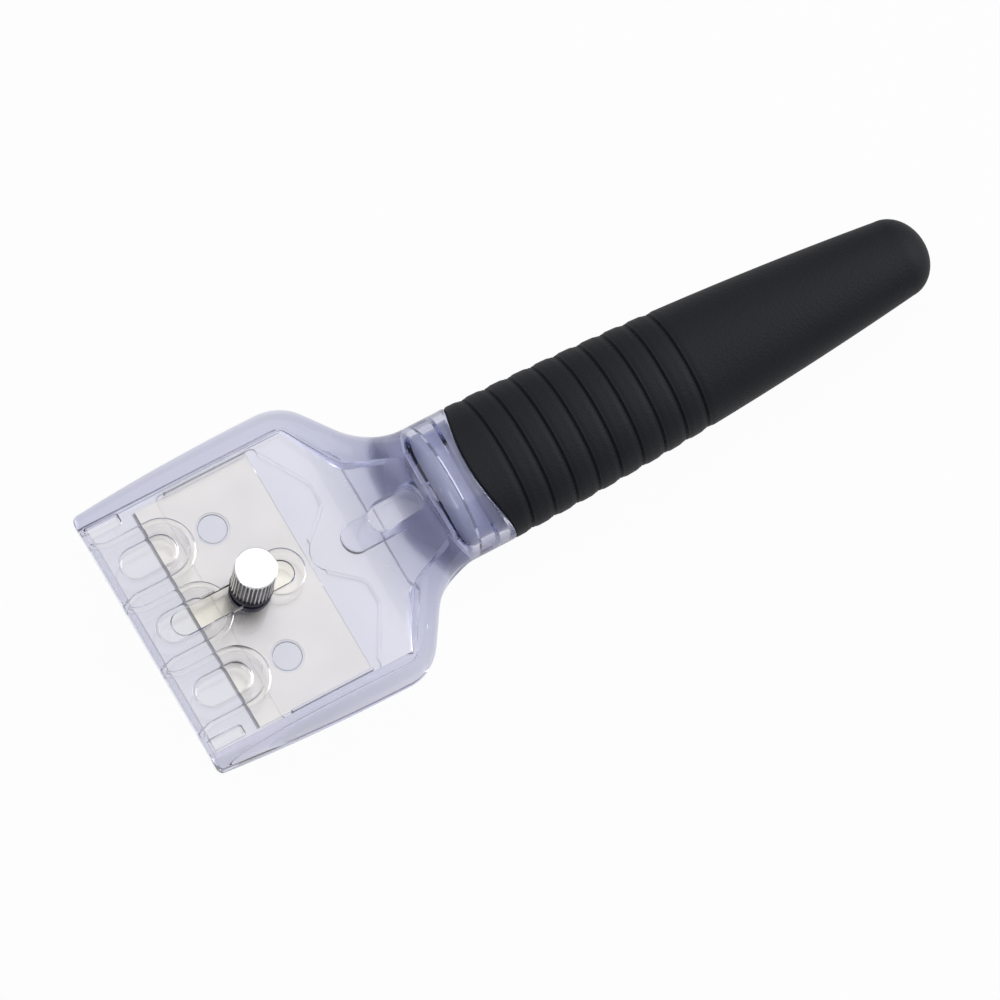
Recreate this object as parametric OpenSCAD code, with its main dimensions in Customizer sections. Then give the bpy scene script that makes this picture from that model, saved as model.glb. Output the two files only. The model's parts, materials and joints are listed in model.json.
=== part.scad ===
// Razor blade scraper with a clear head, a sliding blade carrier and a ribbed grip.
// +X runs from the blade to the end of the grip, +Z is up, and the origin lies under the
// middle of the tool, level with the belly of the grip.

/* [Blade] */
// Length of the blade's edge, across the tool
blade_width = 36.8; // [36:0.2:38]
// Depth of the blade, from its edge to its back
blade_depth = 19; // [18.5:0.1:19.6]
// Thickness of the blade
blade_thickness = 0.4; // [0.3:0.05:0.5]
// Length of the ground bevel behind the edge
bevel_length = 1; // [0.6:0.1:1.6]
// Thickness left at the very edge
edge_thickness = 0.06; // [0.04:0.01:0.1]
// Distance from the edge back to the row of holes
hole_row = 9.2; // [8.8:0.1:9.6]
// Diameter of the holes in the blade
blade_hole_d = 5.1; // [4.8:0.1:5.4]
// Distance between the two outer holes
peg_spacing = 21.9; // [21:0.1:23]

/* [Blade carrier] */
// Thickness of the carrier above the blade
carrier_thickness = 1.7; // [1.6:0.1:2]
// Width of the lips that hold the blade's two ends
carrier_lip = 0.55; // [0.4:0.05:0.8]
// Play between the blade and the carrier's lips
blade_play = 0.05; // [0.05:0.01:0.1]
// Diameter of the pegs through the outer holes
peg_d = 4.3; // [4:0.1:4.6]
// How far the blade stands out of the head in use
blade_reach = 2.4; // [1.5:0.1:3]
// How far the blade's edge lies inside the head at rest
blade_setback = 8.6; // [8:0.1:9]
// How far the carrier slides back from rest
back_travel = 5; // [4.4:0.1:5.2]
// How far the two tail lobes reach behind the blade
lobe_reach = 6.4; // [5.8:0.1:6.8]
// Distance of a lobe's inner corner from the middle
lobe_inner = 6.4; // [6:0.1:7.2]
// Distance of a lobe's outer corner from the middle
lobe_outer = 10.3; // [10:0.1:11.4]
// How far the tail's sides reach behind the blade
tail_side_reach = 1.2; // [1:0.1:1.6]
// How far the point of the tail's notch lies ahead of the blade's back
notch_depth = 1; // [0.8:0.1:1.2]

/* [Head] */
// Thickness of the wall over the carrier
top_wall = 1.2; // [1.1:0.1:1.6]
// Thickness of the base plate
base_thickness = 0.9; // [0.8:0.1:1.2]
// Width of the side walls beside the carrier at the front
side_wall = 2.6; // [2.5:0.1:3.2]
// How much each side flares out towards the shoulders
side_flare = 1.25; // [1:0.05:1.6]
// Thickness of the wall ahead of the carrier
front_wall = 1.3; // [1.1:0.1:1.4]
// Radius of the front corners, seen from above
front_corner_r = 1; // [0.9:0.1:1.4]
// Bevel along the top of the front edge
front_bevel = 0.6; // [0.4:0.1:0.7]
// Distance from the front edge to the start of the shoulders
shoulder_start = 31.6; // [30.6:0.2:32.6]
// Radius of the shoulders, seen from above
shoulder_r = 7; // [6:0.2:8]
// Slope of the shoulders, from the tool's length
shoulder_angle = 53; // [50:1:58]
// Radius where the shoulders sweep into the neck
neck_r = 12.5; // [11:0.5:14]
// Width of the rounded top edge at the front
edge_round_front = 1.7; // [1.2:0.1:2]
// Width of the rounded top edge at the shoulders
edge_round_back = 3; // [2.4:0.1:3.2]
// Radius of the bottom edge
bottom_round = 0.7; // [0.5:0.1:0.9]

/* [Pads and pockets] */
// Width of a raised tongue pad
pad_width = 8; // [7.6:0.1:9]
// Distance from the front edge to a pad's round end
pad_length = 13.3; // [12.6:0.1:14]
// Height of a pad above the head
pad_height = 0.25; // [0.2:0.05:0.4]
// Width of the pocket in a pad
pocket_width = 4.9; // [4.4:0.1:5.4]
// Distance from the front edge to a pocket's front end
pocket_start = 2.4; // [2.2:0.1:3]
// Distance from a pocket's back end to the pad's
pocket_margin = 1.85; // [1.5:0.05:2.2]
// Depth of a pocket below the head's face
pocket_depth = 0.6; // [0.4:0.1:0.7]
// Diameter of the counterbore at the slot's back end
ring_d = 7.2; // [6.8:0.1:7.6]
// Depth of that counterbore
ring_depth = 0.5; // [0.3:0.1:0.6]
// Length of a corner pocket
corner_pocket_length = 5.6; // [5:0.1:6]
// Width of a corner pocket
corner_pocket_width = 1.9; // [1.6:0.1:2.2]
// Depth of a corner pocket
corner_pocket_depth = 0.6; // [0.4:0.1:0.7]
// Distance of a corner pocket's middle from the tool's
corner_pocket_y = 18.1; // [17.7:0.1:18.3]
// Distance from the front edge to the neck recess
recess_start = 37.4; // [36.8:0.1:38]
// Length of the neck recess
recess_length = 8.8; // [8:0.1:9]
// Width of the neck recess
recess_width = 4.5; // [4:0.1:5]

/* [Collar and grip] */
// Length of the whole tool
overall_length = 132; // [126:1:150]
// Width of the collar and of the grip beside it
handle_width = 21.9; // [21.4:0.1:23.4]
// Thickness of the collar and of the grip beside it
handle_thickness = 14.4; // [14:0.2:16]
// Distance from the front edge to the rim, at the tool's sides
collar_end = 56.3; // [55.8:0.1:57.2]
// How far the rim is scooped in at its middle
rim_dip = 2.9; // [2.4:0.1:3.1]
// Width of the grip ahead of its round end
tail_width = 12.4; // [11.6:0.2:14]
// Thickness of the grip ahead of its round end
tail_thickness = 9.6; // [9:0.2:11]
// How far each side of the grip bows out of a straight taper
grip_bow = 0.92; // [0.5:0.02:1.2]
// Length of the round end
nose_length = 5.2; // [4.6:0.2:6]
// Thickness of the rubber over the core
grip_wall = 1.8; // [1.6:0.1:2]
// Number of grooves round the grip
groove_count = 9; // [6:1:9]
// Distance from one groove to the next
groove_pitch = 3.81; // [3.6:0.01:4]
// Width of a groove at the surface
groove_width = 0.9; // [0.7:0.05:1.1]
// Width of a groove at its floor
groove_floor = 0.3; // [0.2:0.05:0.5]
// Depth of a groove
groove_depth = 0.45; // [0.3:0.05:0.6]
// Distance from the rim to the first groove
first_groove = 2.8; // [2.6:0.1:3.2]

/* [Plug] */
// How far the plug reaches ahead of the rim
plug_length = 9; // [8.8:0.1:9.2]
// Length of the plug's rounded front
plug_dome = 2; // [1.6:0.1:2.2]
// Distance from the rim to the snap groove round the plug
snap_start = 2.6; // [2.4:0.1:2.8]
// Length of the snap groove
snap_length = 2.8; // [2.4:0.1:3]
// Depth of the snap groove
snap_depth = 0.5; // [0.3:0.1:0.6]

/* [Thumb screw] */
// Diameter of the knurled head
knob_d = 6.3; // [6:0.1:6.6]
// Height of the knurled head
knob_height = 7.9; // [6:0.1:10]
// Chamfer at both ends of the knurled head
knob_chamfer = 0.25; // [0.2:0.05:0.4]
// Number of knurls
knurl_count = 32; // [24:1:36]
// Depth of a knurl
knurl_depth = 0.25; // [0.15:0.05:0.3]
// Diameter of the screw's shank
shank_d = 3; // [2.8:0.1:3.4]
// Diameter of the washer
washer_d = 6.9; // [6.4:0.1:7.2]
// Thickness of the washer
washer_thickness = 0.4; // [0.3:0.05:0.5]
// Diameter of the threaded insert
insert_d = 6.3; // [5.8:0.1:6.6]
// Chamfer round the insert's lower end
insert_chamfer = 0.3; // [0.2:0.05:0.4]

/* [Clearances] */
// Gap beside the carrier and ahead of and behind its travel
slide_gap = 0.3; // [0.25:0.05:0.4]
// Gap above and below the carrier
lift_gap = 0.1; // [0.08:0.01:0.12]
// Gap between pieces that are seated in each other
seat_gap = 0.05; // [0.04:0.01:0.08]
// Running gap round the screw's shank in the insert
shank_gap = 0.05; // [0.04:0.01:0.08]
// Gap between the screw's shank and the slot's walls
slot_gap = 0.4; // [0.3:0.05:0.5]
// Gap under the washer, over the pads
ride_gap = 0.1; // [0.08:0.01:0.15]

/* [Hidden] */

// How far cuts run past the faces that they open
overrun = 1;
// Steps in a quarter of a ring, in a corner of an outline and round a bore
ring_steps = 8;
corner_steps = 6;
round_steps = 64;
// Share of half an oval that its corner curves take, short of meeting
oval_share = 0.985;

// Heights above and below the tool's middle plane
head_thickness = base_thickness + lift_gap + blade_thickness + carrier_thickness + lift_gap + top_wall;
head_top = head_thickness / 2;
head_bottom = -head_top;
base_top = head_bottom + base_thickness;
blade_bottom = base_top + lift_gap;
blade_top = blade_bottom + blade_thickness;
carrier_top = blade_top + carrier_thickness;
ceiling = carrier_top + lift_gap;
pad_top = head_top + pad_height;
washer_bottom = pad_top + ride_gap;
knob_bottom = washer_bottom + washer_thickness;

// Half sizes across the tool
carrier_half = blade_width / 2 + blade_play + carrier_lip;
cavity_half = carrier_half + slide_gap;
front_half = cavity_half + side_wall;
back_half = front_half + side_flare;
collar_half = handle_width / 2;
collar_rise = handle_thickness / 2;

// Places along the tool, measured from its front edge
forward_travel = blade_setback + blade_reach;
blade_back = blade_setback + blade_depth;
peg_x = blade_setback + hole_row;
carrier_front = forward_travel + front_wall + slide_gap;
tail_end = blade_back + lobe_reach;
cavity_end = tail_end + back_travel + slide_gap;
slide_reach = back_travel + slide_gap;
pocket_end = pad_length - pocket_margin;
ring_x = peg_x + back_travel;
slot_width = shank_d + 2 * slot_gap;
nose_start = overall_length - nose_length;
plug_front = collar_end - plug_length;

// The shoulders are two arcs joined by a straight slope
shoulder_end = shoulder_start + shoulder_r * sin(shoulder_angle);
shoulder_end_half = back_half - shoulder_r * (1 - cos(shoulder_angle));
slope_end_half = collar_half + neck_r * (1 - cos(shoulder_angle));
slope_end = shoulder_end + (shoulder_end_half - slope_end_half) / tan(shoulder_angle);
neck_start = slope_end + neck_r * sin(shoulder_angle);

// The carrier's notch is rounded at its point, and its lobes at their corners
notch_r = 3.1;
lobe_inner_r = 1.8;
lobe_outer_r = 2.5;
carrier_corner_r = 0.8;
// The tongue inside the head that stops the carrier at its notch
stop_width = 4.8;
stop_r = 2.3;
// The notch's rounded floor lies behind the blade's back by this much
notch_half_angle = atan2(lobe_inner, lobe_reach + notch_depth);
notch_floor = notch_r * (1 / sin(notch_half_angle) - 1) - notch_depth;
stop_x = blade_back + notch_floor + slide_reach;
// The ledge that the base plate rests on round the cavity
ledge = 0.7;
base_corner_r = 3;
// The pads flare where they run out at the front edge
pad_flare = 0.9;
pad_flare_r = 2.4;
// The oval neck starts to rise a little behind the start of the shoulders, and its belly
// to drop behind the base plate, so that the head's whole underside is flat
rise_start = shoulder_start + slide_gap;
belly_start = cavity_end + ledge + slide_gap;
recess_floor = head_top + pad_height;
// Rounding of the collar's rim and of the grip's front edge, and the seam between them
rim_round = 0.35;
rim_gap = 0.1;
// Ends of the snap groove round the plug
snap_end = collar_end - snap_start;
snap_front = snap_end - snap_length;
dome_steps = 3;
nose_steps = 5;
// How far round its ellipse the grip's round end runs before its flat tip
nose_angle = 84;
// How far round the front corner its middle ring stands
front_corner_angle = 40;

function smooth(t) = let (u = min(max(t, 0), 1)) u * u * (3 - 2 * u);
function blend(a, b, t) = a + (b - a) * t;

// Points of an outline whose corners are rounded by the radii given for them
function unit(v) = v / norm(v);
function corner_arc(a, b, c, r) =
    let (
        u = unit(a - b),
        v = unit(c - b),
        half = acos(max(min(u * v, 1), -1)) / 2,
        middle = b + unit(u + v) * r / sin(half),
        from = b + u * r / tan(half) - middle,
        to = b + v * r / tan(half) - middle,
        start = atan2(from.y, from.x),
        turn = atan2(to.y, to.x) - start,
        sweep = turn > 180 ? turn - 360 : turn < -180 ? turn + 360 : turn
    )
    [for (i = [0 : corner_steps])
        let (angle = start + sweep * i / corner_steps)
        middle + r * [cos(angle), sin(angle)]];
function rounded(points, radii) =
    let (n = len(points))
    [for (i = [0 : n - 1])
        each radii[i] > 0
            ? corner_arc(points[(i + n - 1) % n], points[i], points[(i + 1) % n], radii[i])
            : [points[i]]];

// The same outline on both sides of the middle: the points run from the front, on the left
function mirrored(points) =
    concat(points, [for (i = [len(points) - 1 : -1 : 0]) [points[i].x, -points[i].y]]);
function mirrored_radii(radii) = concat(radii, [for (i = [len(radii) - 1 : -1 : 0]) radii[i]]);

// Half width of the head and neck at a distance from the front edge
function front_corner(x) =
    x < front_corner_r
        ? front_corner_r - sqrt(pow(front_corner_r, 2) - pow(front_corner_r - x, 2))
        : 0;
function head_half(x) =
    x < shoulder_start
        ? front_half + side_flare * (1 - pow(1 - x / shoulder_start, 2)) - front_corner(x)
    : x < shoulder_end
        ? back_half - shoulder_r + sqrt(pow(shoulder_r, 2) - pow(x - shoulder_start, 2))
    : x < slope_end
        ? shoulder_end_half - (x - shoulder_end) * tan(shoulder_angle)
    : x < neck_start
        ? collar_half + neck_r - sqrt(pow(neck_r, 2) - pow(neck_start - x, 2))
    : collar_half;
// Cosine of the side's slope there, which keeps the rounded edge's width square to the side
function side_cosine(x) =
    x < shoulder_start ? 1
    : x < shoulder_end ? sqrt(1 - pow((x - shoulder_start) / shoulder_r, 2))
    : x < slope_end ? cos(shoulder_angle)
    : x < neck_start ? sqrt(1 - pow((neck_start - x) / neck_r, 2))
    : 1;
function neck_blend(x) = smooth((x - rise_start) / (neck_start - rise_start));
function belly_blend(x) = smooth((x - belly_start) / (neck_start - belly_start));
function head_rise(x) = blend(head_top, collar_rise, neck_blend(x));
function head_drop(x) = blend(head_bottom, -collar_rise, belly_blend(x));

// Half width and half thickness of the grip at a distance from the front edge
function grip_share(x) = (max(x, collar_end) - collar_end) / (nose_start - collar_end);
function grip_half(x) =
    let (t = grip_share(x))
    blend(collar_half, tail_width / 2, t) + grip_bow * 4 * t * (1 - t);
function grip_rise(x) = blend(collar_rise, tail_thickness / 2, pow(grip_share(x), 3));

// One upright closed ring: its corners are quarter ellipses, wider than tall at the top
// edge of the flat head and whole quarters of the oval in the neck and the grip. A dip
// draws the ring's middle towards the head, as the scooped rim is.
function quarter(middle_y, middle_z, round_y, round_z, first) =
    [for (i = [0 : ring_steps])
        let (angle = first + 90 * i / ring_steps)
        [middle_y + round_y * cos(angle), middle_z + round_z * sin(angle)]];
function ring(x, half, top, bottom, top_round, bottom_round, dip = 0) =
    let (
        upper_y = half - top_round.x,
        upper_z = top - top_round.y,
        lower_y = half - bottom_round.x,
        lower_z = bottom + bottom_round.y,
        outline = concat(
            quarter(upper_y, upper_z, top_round.x, top_round.y, 0),
            quarter(-upper_y, upper_z, top_round.x, top_round.y, 90),
            quarter(-lower_y, lower_z, bottom_round.x, bottom_round.y, 180),
            quarter(lower_y, lower_z, bottom_round.x, bottom_round.y, 270)
        )
    )
    [for (p = outline) [x - dip * (1 - pow(p.x / collar_half, 2)), p.x, p.y]];
function oval_ring(x, half, rise, dip = 0) =
    ring(x, half, rise, -rise, oval_share * [half, rise], oval_share * [half, rise], dip);

// A closed solid through a row of rings, capped square to the tool at both ends
module loft(rings) {
    size = len(rings[0]);
    last = len(rings) - 1;
    function at(row, i) = row * size + i % size;
    sides = [
        for (row = [0 : last - 1], i = [0 : size - 1])
            each [
                [at(row, i), at(row + 1, i), at(row + 1, i + 1)],
                [at(row, i), at(row + 1, i + 1), at(row, i + 1)]
            ]
    ];
    first_cap = [
        for (i = [0 : size / 2 - 2])
            each [
                [at(0, i), at(0, i + 1), at(0, size - 2 - i)],
                [at(0, i), at(0, size - 2 - i), at(0, size - 1 - i)]
            ]
    ];
    last_cap = [
        for (i = [0 : size / 2 - 2])
            each [
                [at(last, size - 1 - i), at(last, size - 2 - i), at(last, i + 1)],
                [at(last, size - 1 - i), at(last, i + 1), at(last, i)]
            ]
    ];
    polyhedron(
        points = [for (row = rings) each row],
        faces = concat(first_cap, sides, last_cap),
        convexity = 10
    );
}

// Carries a piece from its place behind the front edge into the tool's own frame
module place() {
    translate([-overall_length / 2, 0, collar_rise]) children();
}

module plate(points, low, high) {
    translate([0, 0, low]) linear_extrude(high - low) polygon(points);
}

module slot(from_x, to_x, width, low, high) {
    for (x = [from_x, to_x])
        translate([x, 0, low]) cylinder(h = high - low, d = width, $fn = round_steps);
    translate([from_x, -width / 2, low]) cube([to_x - from_x, width, high - low]);
}

module bore(x, y, d, low, high) {
    translate([x, y, low]) cylinder(h = high - low, d = d, $fn = round_steps);
}

// Distances from the front edge at which the head's rings stand
function steps(from, to, count) = [for (i = [1 : count]) blend(from, to, i / count)];
head_stations = concat(
    [0, front_corner_r * (1 - cos(front_corner_angle)), front_bevel, front_corner_r],
    steps(front_corner_r, shoulder_start, 4),
    steps(shoulder_start, shoulder_end, 7),
    steps(shoulder_end, slope_end, 4),
    steps(slope_end, neck_start, 12)
);
function head_ring(x) =
    let (
        half = head_half(x),
        rise = head_rise(x),
        cut = front_bevel * max(0, 1 - x / front_bevel),
        round = blend(edge_round_front, edge_round_back, min(x / shoulder_start, 1)),
        across = blend(round / side_cosine(x), oval_share * half, neck_blend(x)),
        down = blend(round, oval_share * rise, neck_blend(x)),
        drop = head_drop(x),
        low_across = blend(bottom_round, oval_share * half, belly_blend(x)),
        low_down = blend(bottom_round, -oval_share * drop, belly_blend(x))
    )
    ring(x, half, rise - cut, drop, [min(across, oval_share * half), down], [low_across, low_down]);

module head_body() {
    loft(concat(
        [for (x = head_stations) head_ring(x)],
        [
            oval_ring(collar_end - rim_dip - 2 * rim_round, collar_half, collar_rise),
            oval_ring(collar_end - rim_round, collar_half, collar_rise, rim_dip),
            oval_ring(collar_end, collar_half - rim_round, collar_rise - rim_round, rim_dip)
        ]
    ));
}

// The plug and its socket share one set of rings, and the socket's stand off by a gap
function plug_half(x) = grip_half(x) - grip_wall;
function plug_rise(x) = grip_rise(x) - grip_wall;
function plug_rings(gap) =
    let (half = plug_half(collar_end) + gap, rise = plug_rise(collar_end) + gap)
    concat(
        [for (i = [0 : dome_steps])
            let (angle = 90 * i / dome_steps, draw = plug_dome * (1 - sin(angle)))
            oval_ring(plug_front - gap + plug_dome * (1 - cos(angle)), half - draw, rise - draw)],
        [
            oval_ring(snap_front - snap_depth, half, rise),
            oval_ring(snap_front, half - snap_depth, rise - snap_depth),
            oval_ring(snap_end, half - snap_depth, rise - snap_depth, rim_dip / 2),
            oval_ring(snap_end + snap_depth, half, rise, rim_dip / 2)
        ]
    );

// The space that the carrier slides in, with the tongue that stops it at its notch
module cavity() {
    outline = [
        [front_wall, cavity_half],
        [blade_back + tail_side_reach + slide_reach, cavity_half],
        [cavity_end, lobe_outer]
    ];
    difference() {
        plate(
            rounded(mirrored(outline), mirrored_radii([0, carrier_corner_r, lobe_outer_r])),
            head_bottom - overrun,
            ceiling
        );
        slot(stop_x + stop_r, cavity_end + overrun, stop_width, base_top, ceiling + overrun);
    }
}

function base_outline(gap) =
    let (half = cavity_half + ledge - gap)
    rounded(
        mirrored([
            [0, half],
            [blade_back + tail_side_reach + slide_reach, half],
            [cavity_end + ledge - gap, lobe_outer + ledge]
        ]),
        mirrored_radii([0, base_corner_r, base_corner_r])
    );

function pad_outline() =
    let (half = pad_width / 2)
    rounded(
        mirrored([[0, half + pad_flare], [pad_flare_r, half], [pad_length, half]]),
        mirrored_radii([0, pad_flare_r, half])
    );

module pads() {
    for (side = [-1 : 1])
        translate([0, side * peg_spacing / 2, 0])
            plate(pad_outline(), head_top - front_bevel, pad_top);
}

module pad_pockets() {
    for (side = [-1 : 1])
        translate([0, side * peg_spacing / 2, 0])
            slot(
                pocket_start + pocket_width / 2,
                pocket_end - pocket_width / 2,
                pocket_width,
                head_top - pocket_depth,
                pad_top + overrun
            );
}

module corner_pockets() {
    for (side = [-1, 1])
        translate([
            front_bevel,
            side * corner_pocket_y - corner_pocket_width / 2,
            head_top - corner_pocket_depth
        ])
            cube([corner_pocket_length, corner_pocket_width, corner_pocket_depth + overrun]);
}

// Clear one-piece head: a thin flat plate in front that swells into an oval neck and collar
module head_shell() {
    color([0.82, 0.84, 0.93, 0.4]) place() difference() {
        union() {
            head_body();
            pads();
        }
        cavity();
        // Seat of the base plate, open at the front
        plate(base_outline(0), head_bottom - overrun, base_top);
        translate([-overrun, -cavity_half - ledge, head_bottom - overrun])
            cube([2 * overrun, 2 * (cavity_half + ledge), base_thickness + overrun]);
        // Slit that the blade comes out of
        translate([-overrun, -blade_width / 2 - slide_gap, base_top - overrun])
            cube([
                overrun + front_wall + overrun,
                blade_width + 2 * slide_gap,
                overrun + blade_thickness + 2 * lift_gap
            ]);
        slot(peg_x - forward_travel, ring_x, slot_width, ceiling - overrun, pad_top + overrun);
        bore(ring_x, 0, ring_d, head_top - ring_depth, pad_top + overrun);
        pad_pockets();
        corner_pockets();
        slot(
            recess_start + recess_width / 2,
            recess_start + recess_length - recess_width / 2,
            recess_width,
            recess_floor,
            collar_rise + overrun
        );
        loft(concat(
            plug_rings(seat_gap),
            [oval_ring(
                collar_end + overrun,
                plug_half(collar_end) + seat_gap,
                plug_rise(collar_end) + seat_gap
            )]
        ));
    }
}

// Clear plate that closes the head from below
module base_plate() {
    color([0.78, 0.8, 0.92, 0.5]) place()
        plate(base_outline(seat_gap), head_bottom, base_top);
}

// Clear plate that holds the blade from above by its ends and by two pegs
module blade_carrier() {
    outline = [
        [carrier_front, carrier_half],
        [blade_back + tail_side_reach, carrier_half],
        [tail_end, lobe_outer],
        [tail_end, lobe_inner]
    ];
    radii = [carrier_corner_r, carrier_corner_r, lobe_outer_r, lobe_inner_r];
    color([0.8, 0.82, 0.95, 0.5]) place() {
        difference() {
            plate(
                rounded(
                    concat(
                        outline,
                        [[blade_back - notch_depth, 0]],
                        [for (i = [3 : -1 : 0]) [outline[i].x, -outline[i].y]]
                    ),
                    concat(radii, [notch_r], [for (i = [3 : -1 : 0]) radii[i]])
                ),
                blade_bottom,
                carrier_top
            );
            translate([
                carrier_front - overrun,
                -blade_width / 2 - blade_play,
                blade_bottom - overrun
            ])
                cube([
                    blade_back + blade_play - carrier_front + overrun,
                    blade_width + 2 * blade_play,
                    blade_thickness + overrun
                ]);
            bore(peg_x, 0, insert_d + 2 * seat_gap, blade_top - overrun, carrier_top + overrun);
        }
        for (side = [-1, 1])
            bore(peg_x, side * peg_spacing / 2, peg_d, blade_bottom, blade_top + lift_gap);
    }
}

// Flat steel blade, ground on its upper side
module razor_blade() {
    color([0.86, 0.85, 0.83]) place() difference() {
        translate([blade_setback, 0, blade_bottom])
            rotate([90, 0, 0])
                linear_extrude(blade_width, center = true)
                    polygon([
                        [0, 0],
                        [blade_depth, 0],
                        [blade_depth, blade_thickness],
                        [bevel_length, blade_thickness],
                        [0, edge_thickness]
                    ]);
        for (side = [-1 : 1])
            bore(
                peg_x,
                side * peg_spacing / 2,
                blade_hole_d,
                blade_bottom - overrun,
                blade_top + overrun
            );
    }
}

// Bush in the carrier that the screw threads into
module threaded_insert() {
    radius = insert_d / 2;
    hole = shank_d / 2 + shank_gap;
    color([0.2, 0.2, 0.22]) place() translate([peg_x, 0, blade_top])
        rotate_extrude($fn = round_steps)
            polygon([
                [hole, 0],
                [radius - insert_chamfer, 0],
                [radius, insert_chamfer],
                [radius, carrier_thickness],
                [hole, carrier_thickness]
            ]);
}

module screw_washer() {
    color([0.13, 0.13, 0.15]) place() difference() {
        bore(peg_x, 0, washer_d, washer_bottom, knob_bottom);
        bore(peg_x, 0, shank_d + 2 * shank_gap, washer_bottom - overrun, knob_bottom + overrun);
    }
}

// Straight-knurled head on a plain shank
module thumb_screw() {
    radius = knob_d / 2;
    color([0.9, 0.9, 0.92]) place() {
        translate([peg_x, 0, knob_bottom]) intersection() {
            linear_extrude(knob_height)
                polygon([
                    for (i = [0 : 2 * knurl_count - 1])
                        let (reach = radius - knurl_depth * (i % 2), angle = 180 * i / knurl_count)
                        [reach * cos(angle), reach * sin(angle)]
                ]);
            rotate_extrude($fn = round_steps)
                polygon([
                    [0, 0],
                    [radius - knob_chamfer, 0],
                    [radius, knob_chamfer],
                    [radius, knob_height - knob_chamfer],
                    [radius - knob_chamfer, knob_height],
                    [0, knob_height]
                ]);
        }
        bore(peg_x, 0, shank_d, blade_top, knob_bottom + knob_chamfer);
    }
}

// Rigid core of the handle: its plug fills the collar's socket
core_stations = steps(collar_end, nose_start, 7);
module handle_core() {
    color([0.2, 0.2, 0.23]) place() loft(concat(
        plug_rings(0),
        [oval_ring(collar_end, plug_half(collar_end), plug_rise(collar_end))],
        [for (x = core_stations) oval_ring(x, plug_half(x), plug_rise(x))]
    ));
}

// Ribbed rubber sleeve, closed at its round end
groove_rings = [
    for (i = [0 : groove_count - 1])
        let (middle = collar_end + first_groove + i * groove_pitch)
        each [
            [middle - groove_width / 2, 0],
            [middle - groove_floor / 2, groove_depth],
            [middle + groove_floor / 2, groove_depth],
            [middle + groove_width / 2, 0]
        ]
];
last_groove = collar_end + first_groove + (groove_count - 1) * groove_pitch + groove_width;
module grip() {
    start = collar_end + rim_gap;
    inner = concat([collar_end], core_stations);
    color([0.15, 0.15, 0.17]) place() loft(concat(
        [oval_ring(
            nose_start + seat_gap,
            plug_half(nose_start) + seat_gap,
            plug_rise(nose_start) + seat_gap
        )],
        [for (i = [len(inner) - 2 : -1 : 1])
            oval_ring(inner[i], plug_half(inner[i]) + seat_gap, plug_rise(inner[i]) + seat_gap)],
        [
            oval_ring(
                start,
                plug_half(collar_end) + seat_gap,
                plug_rise(collar_end) + seat_gap,
                rim_dip
            ),
            oval_ring(start, collar_half - rim_round, collar_rise - rim_round, rim_dip),
            oval_ring(start + rim_round, collar_half, collar_rise, rim_dip)
        ],
        [for (g = groove_rings) oval_ring(g.x, grip_half(g.x) - g.y, grip_rise(g.x) - g.y)],
        [for (x = steps(last_groove, nose_start, 6)) oval_ring(x, grip_half(x), grip_rise(x))],
        [for (i = [1 : nose_steps])
            let (angle = nose_angle * i / nose_steps)
            oval_ring(
                nose_start + nose_length * sin(angle) / sin(nose_angle),
                tail_width / 2 * cos(angle),
                tail_thickness / 2 * cos(angle)
            )]
    ));
}

head_shell();
base_plate();
blade_carrier();
razor_blade();
threaded_insert();
screw_washer();
thumb_screw();
handle_core();
grip();
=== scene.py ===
# %% [markdown]
# # A razor blade scraper with a clear head
#
# The real tool has nine pieces. A clear moulded head holds a steel blade on a sliding
# carrier, a knurled thumb screw clamps the carrier, and a black rubber grip covers the
# handle's core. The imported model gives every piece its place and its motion. This script
# gives every piece its finished surface, its material, and a plain studio round it.

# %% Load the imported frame
import json
import math

import bmesh
import bpy
import numpy as np
from mathutils import Matrix, Vector

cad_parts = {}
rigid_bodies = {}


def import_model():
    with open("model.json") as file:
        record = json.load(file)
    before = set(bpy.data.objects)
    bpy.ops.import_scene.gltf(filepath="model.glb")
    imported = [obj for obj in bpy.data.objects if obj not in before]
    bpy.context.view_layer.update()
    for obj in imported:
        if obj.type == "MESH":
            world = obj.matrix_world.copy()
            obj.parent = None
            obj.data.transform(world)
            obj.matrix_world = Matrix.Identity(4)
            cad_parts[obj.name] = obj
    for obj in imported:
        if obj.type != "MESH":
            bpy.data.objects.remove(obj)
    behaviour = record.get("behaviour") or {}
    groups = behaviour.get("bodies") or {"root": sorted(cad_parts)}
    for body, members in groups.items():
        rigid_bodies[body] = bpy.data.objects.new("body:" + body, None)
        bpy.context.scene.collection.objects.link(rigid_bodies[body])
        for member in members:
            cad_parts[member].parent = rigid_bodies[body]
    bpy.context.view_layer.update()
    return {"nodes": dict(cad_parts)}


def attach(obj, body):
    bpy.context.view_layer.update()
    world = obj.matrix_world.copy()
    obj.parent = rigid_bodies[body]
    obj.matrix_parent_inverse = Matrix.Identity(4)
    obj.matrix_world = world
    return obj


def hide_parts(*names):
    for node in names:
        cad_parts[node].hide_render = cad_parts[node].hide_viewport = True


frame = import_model()
print("nodes:", sorted(frame["nodes"]))

# %% [markdown]
# ## Places along the tool
#
# A maker measures this tool from its front edge backwards and from its middle plane up
# and down, in millimetres. The scene is in metres, with its origin under the middle of
# the tool, so one small function carries a point from the one to the other.

# %% Sizes that more than one piece uses
MM = 0.001
TOOL_LENGTH = 132.0
MIDDLE_HEIGHT = 7.2
HEAD_TOP, HEAD_BOTTOM = 2.2, -2.2
BASE_TOP = -1.3
BLADE_BOTTOM, BLADE_TOP = -1.2, -0.8
CARRIER_TOP = 0.9
CEILING = 1.0
PAD_TOP = 2.45
KNOB_AXIS = 17.8
COLLAR_END = 56.3
COLLAR_HALF, COLLAR_RISE = 10.95, 7.2
RIM_DIP = 2.9
PEG_OFFSET = 10.95
SEAT_GAP = 0.05


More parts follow.
